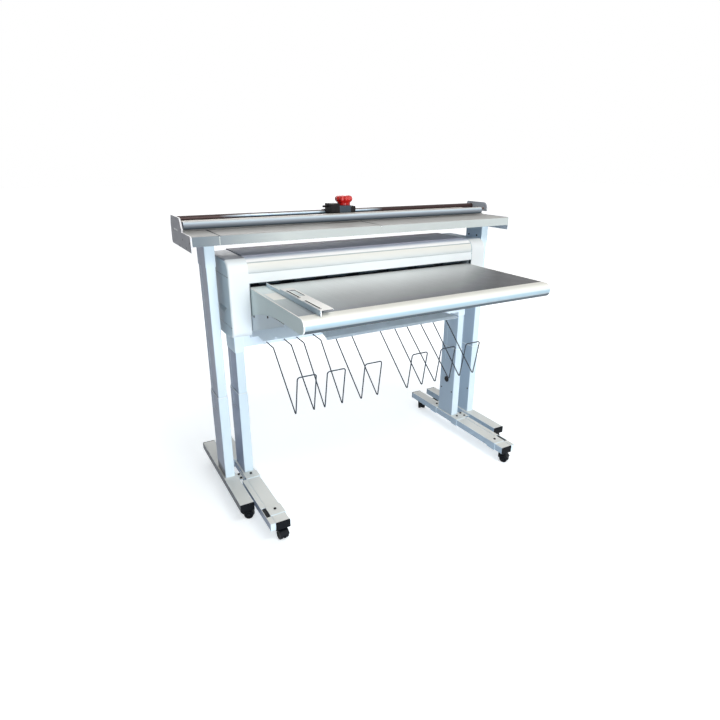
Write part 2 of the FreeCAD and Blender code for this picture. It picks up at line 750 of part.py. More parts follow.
def loop_face(circles, x):
    """Face inside the tight loop round the given (y, z, radius) circles, listed in order."""
    count = len(circles)
    touches = []
    for i in range(count):
        ya, za, ra = circles[i]
        yb, zb, rb = circles[(i + 1) % count]
        length = math.hypot(yb - ya, zb - za)
        along = math.atan2(zb - za, yb - ya)
        normal = along + math.acos((ra - rb) / length)
        offset = (math.cos(normal), math.sin(normal))
        leave = Vector(x, ya + ra * offset[0], za + ra * offset[1])
        arrive = Vector(x, yb + rb * offset[0], zb + rb * offset[1])
        touches.append((leave, arrive, normal))
    edges = []
    for i in range(count):
        leave, arrive, normal = touches[i]
        edges.append(Part.LineSegment(leave, arrive).toShape())
        y, z, radius = circles[(i + 1) % count]
        turn = (touches[(i + 1) % count][2] - normal) % (-2 * math.pi)
        middle = normal + turn / 2
        on_arc = Vector(x, y + radius * math.cos(middle), z + radius * math.sin(middle))
        edges.append(Part.Arc(arrive, on_arc, touches[(i + 1) % count][0]).toShape())
    return Part.Face(Part.Wire(edges))


def drive_belt():
    centres = [(feed_lower[0], feed_lower[1], pulley_radius), (fold_front[0], fold_front[1], pulley_radius)]
    centres.append((motor_centre[0], motor_centre[1], motor_pulley_radius))
    x0 = machine_mid + pulley_start + 1
    width = Vector(pulley_width - 2, 0, 0)
    inner = [(y, z, r + belt_gap) for y, z, r in centres]
    outer = [(y, z, r + belt_gap + belt_thickness) for y, z, r in centres]
    return loop_face(outer, x0).extrude(width).cut(loop_face(inner, x0).extrude(width))


def drive_motor():
    """Gear motor flanged to the inner side of the right frame."""
    y, z = motor_centre
    face = machine_mid + frame_half - frame_thickness
    plate = prism_x([(y - 38, z - 38), (y + 38, z - 38), (y + 38, z + 38), (y - 38, z + 38)],
                    face - 6, face, corners(8.0))
    gearbox = rod_x(y, z, 34.0, face - 36, face - 6)
    can = rod_x(y, z, 28.0, face - 118, face - 36)
    boss = rod_x(y, z, 12.0, face - 126, face - 118)
    body = plate.fuse(gearbox).fuse(can).fuse(boss)
    return body.cut(rod_x(y, z, 5.0 + running_gap, face - 20, face + 1))


def motor_pulley():
    y, z = motor_centre
    x0 = machine_mid + frame_half - frame_thickness - 18
    shaft = rod_x(y, z, 5.0, x0, machine_mid + pulley_start)
    return shaft.fuse(flanged_pulley(y, z, motor_pulley_radius))


# Feed table
def table_side_plate(side):
    """Side cheek of the table: round at the front, its lower edge curving down to the rear."""
    outer = machine_mid + side * table_half
    x0, x1 = sorted((outer, outer - side * table_side))
    radius = nose_radius
    top = Vector(x0, nose_centre_y, table_top)
    tip = Vector(x0, nose_centre_y - radius, table_top - nose_radius)
    under = Vector(x0, nose_centre_y, table_top - nose_radius - radius)
    straight_end = Vector(x0, -250.0, under.z)
    rear_low = Vector(x0, 40.0, 842.0)
    rear_top = Vector(x0, 40.0, table_top)
    edges = [Part.Arc(top, tip, under).toShape(), Part.LineSegment(under, straight_end).toShape()]
    edges.append(Part.Arc(straight_end, Vector(x0, -100.0, 888.0), rear_low).toShape())
    edges.append(Part.LineSegment(rear_low, rear_top).toShape())
    edges.append(Part.LineSegment(rear_top, top).toShape())
    return Part.Face(Part.Wire(edges)).extrude(Vector(x1 - x0, 0, 0))


def nose_half_round(radius, x, y_back):
    centre_z = table_top - nose_radius
    top = Vector(x, nose_centre_y, centre_z + radius)
    tip = Vector(x, nose_centre_y - radius, centre_z)
    under = Vector(x, nose_centre_y, centre_z - radius)
    back_low = Vector(x, y_back, centre_z - radius)
    back_top = Vector(x, y_back, centre_z + radius)
    edges = [Part.Arc(top, tip, under).toShape()]
    for a, b in ((under, back_low), (back_low, back_top), (back_top, top)):
        edges.append(Part.LineSegment(a, b).toShape())
    return Part.Face(Part.Wire(edges))


def table_nose():
    """Hollow bull-nose profile along the table's front edge."""
    x0 = machine_mid - table_half + table_side
    length = Vector(2 * (table_half - table_side), 0, 0)
    outer = nose_half_round(nose_radius, x0, nose_back).extrude(length)
    inner = nose_half_round(nose_radius - 2.5, x0, nose_back + 1).extrude(length)
    inner = inner.common(block(x0 - 1, -x0 + 100, -500, nose_back - 2.5, 800, 1000))
    groove = block(x0 - 1, x0 + length.x + 1, nose_back - 3.0, nose_back - 1.5, table_top - 1, table_top + 1)
    return outer.cut(inner).cut(groove)


def feed_table():
    """Laminated board with two stiffening rails under it."""
    x0 = machine_mid - table_half + table_side
    x1 = machine_mid + table_half - table_side
    board = block(x0, x1, nose_back, table_back, table_under, table_top)
    for x in (x0 + 30, x1 - 52):
        board = board.fuse(block(x, x + 22, nose_back, -40.0, table_under - 16, table_under))
    return board


def paper_guide():
    """Sliding side guide: a low fence with a flanged top plate, two slots and a window."""
    fence_x0 = guide_x - 6
    low = table_top + 0.4
    top = 986.0
    front = -470.0
    plate_back = -112.0
    fence = block(fence_x0, fence_x0 + 4, front, 38.0, low, 980.0)
    wall = block(fence_x0, fence_x0 + 3, front, plate_back, low, top)
    far = fence_x0 + 51
    plate_points = [(fence_x0, front), (far, front), (far, plate_back), (fence_x0, plate_back)]
    plate = prism_z(plate_points, top - 2.5, top, {1: 10.0, 2: 10.0})
    body = fence.fuse(wall).fuse(plate)
    for y0, y1 in ((-271.0, -157.0), (-445.0, -324.0)):
        body = body.fuse(obround(guide_x + 3.5, y0 - 4, y1 + 4, 7.5, top - 1, top + 1.5))
        body = body.cut(obround(guide_x + 3.5, y0, y1, 3.5, top - 5, top + 3))
    window = prism_z([(guide_x + 15, -252.0), (guide_x + 37, -252.0), (guide_x + 37, -152.0),
                      (guide_x + 15, -152.0)], top - 5, top + 1, corners(2.0))
    return body.cut(window)


def obround(x, y0, y1, radius, z0, z1):
    """Slot shape along Y with round ends."""
    points = [(x - radius, y0), (x + radius, y0), (x + radius, y1), (x - radius, y1)]
    return prism_z(points, z0, z1, corners(radius * 0.999))


def make_machine():
    x0 = machine_leg_mid - machine_leg_half
    x1 = machine_leg_mid + machine_leg_half
    save("machine_columns", column(x0, machine_column_top), column(x1, machine_column_top))
    save("crossbeam", crossbeam())
    save("chute_tray", chute_tray())
    save("chute_ramp", chute_ramp())
    loops = [wire_loop(x, skew) for x, skew in zip(loop_centres, loop_skews)]
    save("basket_wires_left", *loops[:3])
    save("basket_wires_right", *loops[3:])
    save("end_cap_left", end_cap(-1))
    save("end_cap_right", end_cap(1))
    save("front_cover", front_cover())
    save("feed_lip", feed_lip())
    save("top_cover", top_cover())
    save("base_pan", base_pan(), inner_wall())
    save("side_frames", side_frame(-1), side_frame(1))
    places = (feed_lower, feed_upper, fold_front, fold_rear)
    save("roller_bearings", *[bearing(y, z, side) for y, z, radius in places for side in (-1, 1)])
    save("feed_roller_lower", roller(feed_lower, pulley=True))
    save("feed_roller_upper", roller(feed_upper, bands=7))
    save("fold_roller_front", roller(fold_front, pulley=True))
    save("fold_roller_rear", roller(fold_rear))
    save("drive_motor", drive_motor())
    save("motor_pulley", motor_pulley())
    save("drive_belt", drive_belt())
    save("feed_table", feed_table())
    save("table_side_plates", table_side_plate(-1), table_side_plate(1))
    save("table_nose", table_nose())
    save("paper_guide", paper_guide())


# Trimmer
def trimmer_column(x_mid):
    """Inner column with its welded head socket and the pad under the trimmer's table."""
    pad = block(x_mid - 45, x_mid + 45, 60, 340, trimmer_column_top, trimmer_top - sheet)
    body = column(x_mid, trimmer_column_top).fuse(pad)
    return body.fuse(socket(x_mid, trimmer_socket_bottom, trimmer_column_top)).removeSplitter()


def table_panel(x0, x1):
    """Folded sheet panel with a front apron and a rear flange."""
    outline = [(trimmer_front, apron_bottom), (trimmer_front + sheet, apron_bottom)]
    outline += [(trimmer_front + sheet, trimmer_top - sheet), (trimmer_rear - sheet, trimmer_top - sheet)]
    outline += [(trimmer_rear - sheet, 1150.0), (trimmer_rear, 1150.0)]
    outline += [(trimmer_rear, trimmer_top), (trimmer_front, trimmer_top)]
    return prism_x(outline, x0, x1, {2: 2.0, 3: 2.0, 6: 4.5, 7: 4.5})


def trimmer_panels():
    inner = trimmer_half - end_plate
    starts = [-inner] + [seam + seam_gap / 2 for seam in table_seams]
    ends = [seam - seam_gap / 2 for seam in table_seams] + [inner]
    return [table_panel(x0, x1) for x0, x1 in zip(starts, ends)]


def end_plate_outline(side):
    """Outline (y, z) and corner radii; the right plate is cut free over the table's front part."""
    low = [(32.0, 1120.0), (372.0, 1120.0)]
    table_edge = (trimmer_front + 2, trimmer_top + 1)
    if side < 0:
        high = [(366.0, 1200.0), (348.0, 1234.0), (196.0, 1234.0), (170.0, 1190.0), (176.0, trimmer_top + 1)]
        return low + high + [table_edge], {1: 14.0, 2: 20.0, 3: 6.0, 4: 22.0, 5: 8.0, 7: 9.0}
    high = [(368.0, 1200.0), (350.0, 1240.0), (194.0, 1240.0), (194.0, 1196.0)]
    high += [(292.0, 1196.0), (300.0, trimmer_top + 1)]
    return low + high + [table_edge], {1: 14.0, 2: 20.0, 3: 6.0, 4: 26.0, 6: 6.0, 8: 9.0}


def trimmer_end_plate(side):
    """End plate: tall and round-cornered at the rear, stepping down over the table's edge."""
    outer = side * trimmer_half
    x0, x1 = sorted((outer, outer - side * end_plate))
    outline, radii = end_plate_outline(side)
    plate = prism_x(outline, x0, x1, radii)
    if side < 0:
        slit = [(244.0, 1179.0), (312.0, 1179.0), (312.0, 1186.0), (244.0, 1186.0)]
        plate = plate.cut(prism_x(slit, x0 - 1, x1 + 1, corners(3.4)))
    y, z = pin_centre
    reach = pin_radius + running_gap
    track = [(y - reach, z - clamp_lift - reach), (y + reach, z - clamp_lift - reach)]
    track += [(y + reach, z + reach), (y - reach, z + reach)]
    inside = side * (trimmer_half - end_plate)
    depth = sorted((inside - side, inside + side * 4))
    plate = plate.cut(prism_x(track, depth[0], depth[1], corners(reach * 0.999)))
    sink = screw_head_radius - screw_radius
    for y, z in end_plate_screws:
        seat = Part.makeCone(screw_head_radius, screw_radius, sink, Vector(outer, y, z), Vector(-side, 0, 0))
        plate = plate.cut(seat).cut(rod_x(y, z, screw_radius, x0 - 1, x1 + 1))
    return plate


def cutting_rail():
    """Flat base under the cutter, with a rear rib and a clearance groove for the wheel blade."""
    inner = trimmer_half - end_plate
    outline = [(222.0, trimmer_top), (352.0, trimmer_top), (352.0, 1206.0), (347.0, 1206.0)]
    outline += [(347.0, rail_top), (248.0, rail_top), (248.0, rail_top - 1.6), (counter_back, rail_top - 1.6)]
    outline += [(counter_back, rail_top), (222.0, rail_top)]
    return prism_x(outline, -inner, inner)


def counter_blade():
    inner = trimmer_half - end_plate
    outline = [(224.0, rail_top), (counter_back, rail_top), (counter_back, counter_top), (228.0, counter_top)]
    return prism_x(outline, -inner + 1, inner - 1)


def guide_bar():
    inner = trimmer_half - end_plate
    y, z = bar_centre
    bore = rod_x(y, z, bar_radius - bar_wall, -inner - 1, inner + 1)
    return rod_x(y, z, bar_radius, -inner, inner).cut(bore)


def clamp_bar():
    """Round paper clamp with a rear strip, guided at its ends by lugs with pins in the end plates."""
    wall = 2.4
    left, right = clamp_ends
    y, z = clamp_centre
    pin_y, pin_z = pin_centre
    top = z + clamp_radius
    tube = rod_x(y, z, clamp_radius, left, right)
    strip = block(left, clamp_strip_end, y, y + 32, top - wall, top)
    bar = tube.fuse(strip).cut(rod_x(y, z, clamp_radius - wall, left + 8, right - 8))
    for end, side in ((left, -1), (right, 1)):
        lug_x = sorted((end, end - side * 8))
        bar = bar.fuse(block(lug_x[0], lug_x[1], y, pin_y + 7, z, top))
        pin_x = sorted((end - side, side * (trimmer_half - end_plate + 3)))
        bar = bar.fuse(rod_x(pin_y, pin_z, pin_radius, pin_x[0], pin_x[1]))
    return bar


def cutter_carriage():
    """Sliding head on the guide bar: tall left housing, lower right block and a slim end piece."""
    low = 1187.5
    left = carriage_x - 84
    step = carriage_x - 32.5
    right = carriage_x + 39
    tall = prism_x([(240, low), (345, low), (345, 1262), (240, 1262)], left, step, {2: 10.0, 3: 10.0})
    flat = prism_x([(240, low), (345, low), (345, knob_seat), (240, knob_seat)], step, right,
                   {2: 6.0, 3: 6.0})
    tail_line = [(248, low + 8), (337, low + 8), (337, 1240), (248, 1240)]
    tail = prism_x(tail_line, right, right + 17, corners(8.0))
    body = tall.fuse(flat).fuse(tail)
    ridge_line = [(left + 10, 1255), (step - 10, 1255), (step - 10, 1266), (left + 10, 1266)]
    ridge = prism_y(ridge_line, 262, 324, {2: 3.0, 3: 3.0})
    body = body.fuse(ridge).fuse(rod_x(knob_y, 1247.0, 3.5, left - 10, left + 1))
    body = body.cut(rod_x(bar_centre[0], bar_centre[1], bar_radius + running_gap, left - 20, right + 30))
    body = body.cut(rod_z(carriage_x, knob_y, 31.2, knob_seat - 6, knob_seat + 30))
    body = body.cut(rod_z(carriage_x, knob_y, 10.0 + running_gap, knob_seat - 32, knob_seat))
    pocket = rod_y(carriage_x, blade_z, blade_radius + 1.2, 243.0, 247.2)
    body = body.cut(pocket)
    return body.cut(rod_y(carriage_x, blade_z, 3.0 + running_gap, 247.0, 264.0))


def cutter_knob():
    """Mushroom grip with finger flutes round its head and a stem that presses into the head."""
    profile = [(0, 1226.0), (10, 1226.0), (10, 1248.5), (30, 1248.5), (30, 1266.0), (40, 1271.0)]
    profile += [(44, 1276.0), (43, 1285.0), (34, 1292.0), (0, 1293.0)]
    points = [Vector(carriage_x + r, knob_y, z) for r, z in profile]
    radii = radius_list(points, {4: 6.0, 5: 6.0, 6: 5.0, 7: 6.0, 8: 8.0})
    face = Part.Face(rounded_edges(points, radii, True))
    knob = face.revolve(Vector(carriage_x, knob_y, 0), Vector(0, 0, 1), 360)
    flutes = 10
    for k in range(flutes):
        angle = 2 * math.pi * (k + 0.5) / flutes
        x = carriage_x + 51.0 * math.cos(angle)
        y = knob_y + 51.0 * math.sin(angle)
        knob = knob.cut(rod_z(x, y, 10.0, 1240.0, 1300.0))
    return knob


def cutter_blade():
    """Wheel blade with a bevelled rim on a short axle."""
    y0 = blade_front
    y1 = blade_front + blade_thickness
    hub_back = 247.0
    axle_back = 262.0
    profile = [(0, y0), (blade_radius, y0), (blade_radius - 3, y1), (8, y1), (8, hub_back)]
    profile += [(3, hub_back), (3, axle_back), (0, axle_back)]
    points = [Vector(carriage_x + r, y, blade_z) for r, y in profile]
    face = Part.Face(rounded_edges(points, radius_list(points, None), True))
    return face.revolve(Vector(carriage_x, 0, blade_z), Vector(0, 1, 0), 360)


def make_trimmer():
    save("trimmer_columns", trimmer_column(-trimmer_leg_half), trimmer_column(trimmer_leg_half))
    save("trimmer_table", *trimmer_panels())
    save("trimmer_end_plates", trimmer_end_plate(-1), trimmer_end_plate(1))
    save("cutting_rail", cutting_rail())
    save("counter_blade", counter_blade())
    save("guide_bar", guide_bar())
    save("clamp_bar", clamp_bar())
    save("cutter_carriage", cutter_carriage())
    save("cutter_knob", cutter_knob())
    save("cutter_blade", cutter_blade())


os.makedirs("parts", exist_ok=True)
make_stands()
make_castors()
make_machine()
make_trimmer()
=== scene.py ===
import json
import math

import bmesh
import bpy
from mathutils import Matrix, Vector


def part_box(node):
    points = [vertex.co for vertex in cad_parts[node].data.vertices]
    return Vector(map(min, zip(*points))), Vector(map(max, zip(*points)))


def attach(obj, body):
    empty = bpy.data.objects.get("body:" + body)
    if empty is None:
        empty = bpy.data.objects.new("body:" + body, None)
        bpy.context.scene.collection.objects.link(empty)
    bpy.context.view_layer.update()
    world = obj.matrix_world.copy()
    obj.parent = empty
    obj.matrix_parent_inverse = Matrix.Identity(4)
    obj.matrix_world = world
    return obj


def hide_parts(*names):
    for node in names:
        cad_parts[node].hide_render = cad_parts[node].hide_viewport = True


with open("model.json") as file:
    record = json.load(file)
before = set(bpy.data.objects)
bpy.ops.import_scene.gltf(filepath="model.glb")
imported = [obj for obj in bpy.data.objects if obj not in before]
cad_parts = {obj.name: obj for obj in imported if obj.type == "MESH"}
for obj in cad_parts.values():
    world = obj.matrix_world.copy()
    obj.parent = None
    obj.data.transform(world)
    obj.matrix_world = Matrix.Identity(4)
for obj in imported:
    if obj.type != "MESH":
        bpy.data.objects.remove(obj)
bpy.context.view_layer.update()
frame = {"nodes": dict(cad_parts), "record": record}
nodes = frame["nodes"]


# Front edge of the roof's grey over the end caps' tops, with its painted shade, along Y, in metres
ROOF_EDGE_Y = 0.066

# Cutter head in metres: each block's left and right end, top, and the rear of its raised part
HEAD_BLOCKS = ((-0.104, -0.062, 1.260, 0.308), (-0.062, -0.004, 1.250, 0.318),
               (-0.004, 0.020, 1.247, 0.314))
HEAD_LOW = 1.1875
BAR_CENTRE = (0.320, 1.216)
KNOB_X = -0.018
KNOB_Y = 0.285
KNOB_LOBES = 10

# Middle of the paper guide's slots, along X, in metres
GUIDE_SLOT_X = -0.4965

# Joints between the panels of the trimmer's table, along X, in metres
PANEL_JOINTS = (-0.680, 0.035)
JOINT_HALF = 0.0019
JOINT_SHADE_HALF = 0.0046

# Heights of the end caps' parting lines, in metres
CAP_SEAMS = (1.0170, 0.8120)
CAP_SEAM_HALF = 0.0014

# The cover's white and the grey of the seam under its curve, as they look on screen
COVER_WHITE = (0.99, 0.995, 1.0)
COVER_SEAM_GREY = (0.68, 0.71, 0.72)

# Camera of the photograph, in metres and degrees. Yaw turns from +Y towards +X.
PHOTO_PIXELS = 720
FOCAL_PIXELS = 534.6
CAMERA_PLACE = Vector((-1.230, -2.000, 1.450))
CAMERA_YAW = math.radians(29.70)
CAMERA_PITCH = math.radians(20.60)
CAMERA_ROLL = math.radians(-0.26)


# Small shared helpers
def linear(r, g, b):
    """A colour given as it looks on screen, in the renderer's linear values."""
    def channel(v):
        return v / 12.92 if v <= 0.04045 else ((v + 0.055) / 1.055) ** 2.4
    return (channel(r), channel(g), channel(b), 1.0)


def shade(colour, factor):
    """The colour made lighter or darker, cut off at white."""
    return tuple(min(1.0, c * factor) for c in colour[:3]) + (1.0,)


class Surface:
    """A material's node tree, with short calls for the nodes that the finishes share."""

    def __init__(self, name):
        self.material = bpy.data.materials.new(name)
        self.material.use_nodes = True
        self.tree = self.material.node_tree
        self.shader = next(n for n in self.tree.nodes if n.type == "BSDF_PRINCIPLED")
        self.place = self.add("ShaderNodeTexCoord").outputs["Object"]

    def add(self, kind, inputs=None, **settings):
        node = self.tree.nodes.new(kind)
        for key, value in settings.items():
            setattr(node, key, value)
        for key, value in (inputs or {}).items():
            self.feed(node.inputs[key], value)
        return node

    def feed(self, socket, value):
        if isinstance(value, bpy.types.NodeSocket):
            self.tree.links.new(value, socket)
        else:
            socket.default_value = value

    def set(self, **inputs):
        for key, value in inputs.items():
            self.feed(self.shader.inputs[key.replace("_", " ")], value)

    def stretched(self, x, y, z):
        """Object coordinates scaled differently along each axis, for brushed or drawn grain."""
        return self.add("ShaderNodeMapping", {"Vector": self.place, "Scale": (x, y, z)}).outputs[0]

    def noise(self, scale, detail=3.0, roughness=0.55, vector=None):
        node = self.add("ShaderNodeTexNoise", {"Vector": vector or self.place, "Scale": scale,
                                               "Detail": detail, "Roughness": roughness})
        return node.outputs[0]

    def ramp(self, value, low, high, to_low=0.0, to_high=1.0):
        node = self.add("ShaderNodeMapRange", {"Value": value, "From Min": low, "From Max": high,
                                               "To Min": to_low, "To Max": to_high})
        return node.outputs[0]

    def mix(self, factor, a, b):
        node = self.add("ShaderNodeMix", data_type="RGBA")
        self.feed(node.inputs[0], factor)
        self.feed(node.inputs[6], a)
        self.feed(node.inputs[7], b)
        return node.outputs[2]

    def math(self, operation, a, b=0.0):
        node = self.add("ShaderNodeMath", operation=operation)
        self.feed(node.inputs[0], a)
        self.feed(node.inputs[1], b)
        return node.outputs[0]

    def scaled(self, colour, value):
        """The colour made lighter or darker by a value around 1."""
        node = self.add("ShaderNodeVectorMath", operation="SCALE")
        self.feed(node.inputs[0], colour)
        self.feed(node.inputs[3], value)
        return node.outputs[0]

    def facing(self, letter):
        """How far the surface faces along one of the object's axes, from -1 to 1."""
        normal = self.add("ShaderNodeTexCoord").outputs["Normal"]
        return self.add("ShaderNodeSeparateXYZ", {"Vector": normal}).outputs[letter]

    def axis(self, letter):
        return self.add("ShaderNodeSeparateXYZ", {"Vector": self.place}).outputs[letter]

    def band(self, value, low, high, soft=0.0003):
        """1 between low and high, 0 outside, with soft edges."""
        rise = self.ramp(value, low - soft, low + soft)
        fall = self.ramp(value, high - soft, high + soft, 1.0, 0.0)
        return self.math("MULTIPLY", rise, fall)

    def graded(self, value, stops):
        """Colour along a value, from rising stops of (value, r, g, b) as they look on screen."""
        low, high = stops[0][0], stops[-1][0]
        node = self.add("ShaderNodeValToRGB", {"Fac": self.ramp(value, low, high)})
        elements = node.color_ramp.elements
        elements[0].color = linear(*stops[0][1:])
        elements[1].color = linear(*stops[-1][1:])
        for at, *colour in stops[1:-1]:
            elements.new((at - low) / (high - low)).color = linear(*colour)
        return node.outputs[0]

    def bump(self, height, distance, strength=1.0, under=None):
        node = self.add("ShaderNodeBump", {"Height": height, "Distance": distance,
                                           "Strength": strength})
        if under is not None:
            self.feed(node.inputs["Normal"], under)
        return node.outputs[0]


# Finishes
def powder_coat(name, colour, roughness=0.40, dusty=0.965):
    """Sprayed paint: fine orange peel, slight drift of colour, a little dust in small specks."""
    s = Surface(name)
    drift = s.ramp(s.noise(3.5, 4.0), 0.3, 0.7)
    base = s.mix(drift, shade(colour, dusty), shade(colour, 1.015))
    speck = s.ramp(s.noise(900.0, 1.0), 0.66, 0.74)
    base = s.mix(s.math("MULTIPLY", speck, 0.2), base, shade(colour, 0.84))
    s.set(Base_Color=base, Coat_Weight=0.03, Coat_Roughness=0.25, Specular_IOR_Level=0.22)
    s.set(Roughness=s.ramp(s.noise(26.0, 4.0), 0.3, 0.7, roughness - 0.05, roughness + 0.07))
    peel = s.bump(s.noise(420.0, 2.0), 0.00012, 0.35)
    s.set(Normal=s.bump(s.noise(9.0, 2.0), 0.0006, 0.2, peel))
    return s


def moulded(name, colour, roughness=0.42, grain=1500.0, depth=0.00006):
    """Moulded plastic with a spark-eroded grain and faint flow marks."""
    s = Surface(name)
    flow = s.ramp(s.noise(6.0, 5.0, 0.6, s.stretched(1.0, 1.0, 0.35)), 0.3, 0.7)
    s.set(Base_Color=s.mix(flow, shade(colour, 0.96), shade(colour, 1.02)), Specular_IOR_Level=0.3)
    s.set(Roughness=s.ramp(s.noise(40.0, 4.0), 0.3, 0.7, roughness - 0.06, roughness + 0.06))
    s.set(Normal=s.bump(s.noise(grain, 2.0), depth, 0.5))
    return s


def drawn_metal(name, colour, along, roughness=0.3, streak=0.12, metallic=1.0):
    """Extruded or ground metal with fine lines along one axis."""
    s = Surface(name)
    scale = [700.0, 700.0, 700.0]
    scale["XYZ".index(along)] = 3.0
    lines = s.noise(1.0, 4.0, 0.65, s.stretched(*scale))
    tone = s.ramp(lines, 0.3, 0.7)
    cloud = s.ramp(s.noise(7.0, 4.0), 0.3, 0.7)
    base = s.mix(tone, shade(colour, 1.0 - streak), shade(colour, 1.0 + streak * 0.5))
    base = s.mix(s.math("MULTIPLY", cloud, 0.3), base, shade(colour, 0.88))
    s.set(Base_Color=base, Metallic=metallic)
    s.set(Roughness=s.ramp(lines, 0.3, 0.7, roughness - 0.06, roughness + 0.1))
    s.set(Normal=s.bump(lines, 0.00003, 0.4))
    return s


def rubbery(name, colour, roughness=0.62):
    """Rubber or belt cloth with a ground surface and dusty patches."""
    s = Surface(name)
    dust = s.ramp(s.noise(30.0, 5.0, 0.65), 0.5, 0.75)
    s.set(Base_Color=s.mix(s.math("MULTIPLY", dust, 0.35), colour, linear(0.32, 0.32, 0.33)))
    s.set(Roughness=s.ramp(s.noise(70.0, 3.0), 0.3, 0.7, roughness - 0.08, roughness + 0.1))
    s.set(Normal=s.bump(s.noise(1100.0, 3.0), 0.00008, 0.6))
    return s


PALE_BLUE = linear(0.865, 0.925, 0.955)
CHUTE_BLUE = linear(0.92, 0.965, 1.0)
CHEEK_GREY = linear(0.94, 1.0, 1.0)
TRIMMER_GREY = linear(0.745, 0.765, 0.755)
WHITE = linear(0.925, 0.95, 0.96)
BLACK = linear(0.045, 0.055, 0.075)
DARK_ROOF = linear(0.50, 0.515, 0.56)


def tint_where(s, mask, colour):
    """Lays a second colour where the mask is 1. Elsewhere the finish keeps its fine grain."""
    below = s.shader.inputs["Base Color"].links[0].from_socket
    s.set(Base_Color=s.mix(mask, below, colour))


def stand_paint():
    """Pale blue with painted light: neutral level tops, painted shade greyer to the left and near
    black low on the far left.
    """
    s = powder_coat("stand_paint", PALE_BLUE)
    # Painted shade on faces that look to the left: grey-blue on the left half, darker under the
    # table on the right half.
    to_left = s.ramp(s.facing("X"), -0.9, -0.7, 0.9, 0.0)
    left_half = s.ramp(s.axis("X"), -0.2, 0.0, 1.0, 0.0)
    tint_where(s, to_left, s.mix(left_half, linear(0.72, 0.79, 0.86), linear(0.62, 0.65, 0.75)))
    # Painted shadow: the left-facing side of the far left foot is made near black.
    far_left = s.ramp(s.axis("X"), -0.70, -0.68, 1.0, 0.0)
    low = s.ramp(s.axis("Z"), 0.12, 0.14, 1.0, 0.0)
    painted_foot_shadow = s.math("MULTIPLY", to_left, s.math("MULTIPLY", far_left, low))
    tint_where(s, painted_foot_shadow, linear(0.16, 0.16, 0.19))
    # Painted light: level tops are tinted a neutral grey.
    tint_where(s, s.ramp(s.facing("Z"), 0.7, 0.9, 0.0, 0.9), linear(0.885, 0.885, 0.865))
    return s


def trimmer_table_paint():
    """Grey apron in painted shade darker to the left, a finely lined top face, and dark joints
    between panels widened by painted shade heavier to the rear.
    """
    s = powder_coat("trimmer_table_paint", TRIMMER_GREY, 0.5)
    # Painted shade: the apron grows darker towards the left end.
    tint_where(s, s.ramp(s.axis("X"), -0.76, -0.42, 0.9, 0.0), linear(0.44, 0.48, 0.51))
    fine = s.ramp(s.noise(1.0, 4.0, 0.6, s.stretched(40.0, 700.0, 700.0)), 0.3, 0.7)
    top = s.mix(fine, linear(0.67, 0.67, 0.665), linear(0.71, 0.71, 0.705))
    on_top = s.ramp(s.axis("Z"), 1.1786, 1.1790)
    tint_where(s, on_top, top)
    # Dark joints between panels, widened by a painted shade that grows heavier towards the rear.
    joints = s.math("ADD", *(s.band(s.axis("X"), x - JOINT_SHADE_HALF, x + JOINT_SHADE_HALF, 0.0008)
                             for x in PANEL_JOINTS))
    rearward_joint_shade = s.ramp(s.axis("Y"), 0.035, 0.20, 0.25, 1.0)
    joints = s.math("MULTIPLY", s.math("MULTIPLY", joints, rearward_joint_shade), on_top)
    tint_where(s, joints, linear(0.13, 0.15, 0.17))
    s.set(Coat_Weight=0.0, Specular_IOR_Level=0.08)
    return s


def end_plate_paint():
    """Grey-violet outer faces in painted shade, paler faces towards the table, and a painted
    highlight along the cut edge.
    """
    s = powder_coat("end_plate_paint", linear(0.74, 0.77, 0.81), 0.45)
    # Painted shade: faces that look away from the table are darker.
    outward = s.math("MULTIPLY", s.facing("X"), s.axis("X"))
    tint_where(s, s.ramp(outward, 0.2, 0.3), linear(0.60, 0.60, 0.635))
    # Painted highlight along the edges, on faces that do not look along X.
    edge = s.ramp(s.math("ABSOLUTE", s.facing("X")), 0.4, 0.6, 1.0, 0.0)
    tint_where(s, edge, linear(0.93, 0.93, 0.94))
    return s


def roof_paint():
    """Textured roof sheet with painted shade: pale in front and darkest where it rolls down at the
    rear.
    """
    s = powder_coat("roof_paint", DARK_ROOF, 0.55)
    # Painted shade, growing darker towards the rear where the sheet rolls down.
    stops = ((0.10, 0.78, 0.79, 0.86), (0.22, 0.72, 0.73, 0.79),
             (0.30, 0.55, 0.53, 0.57), (0.335, 0.40, 0.36, 0.38))
    tint_where(s, 0.9, s.graded(s.axis("Y"), stops))
    s.set(Specular_IOR_Level=0.1)
    return s


def cover_paint():
    """White curve, a fine grey seam under it, a cream band that grows darker towards its foot, and
    a painted blue-grey reflection on level faces.
    """
    s = powder_coat("cover_paint", linear(*COVER_WHITE), 0.34)
    stops = ((1.0268, 0.72, 0.75, 0.76), (1.0280, 0.81, 0.84, 0.85),
             (1.0400, 0.86, 0.87, 0.86), (1.0630, 0.895, 0.895, 0.87),
             (1.0642, *COVER_SEAM_GREY), (1.0668, *COVER_SEAM_GREY), (1.0680, *COVER_WHITE))
    below_curve = s.ramp(s.axis("Z"), 1.0676, 1.0684, 1.0, 0.0)
    tint_where(s, below_curve, s.graded(s.axis("Z"), stops))
    # Painted reflection: faces that look upwards are tinted blue-grey.
    tint_where(s, s.ramp(s.facing("Z"), 0.84, 0.97, 0.0, 0.9), linear(0.72, 0.77, 0.86))
    return s


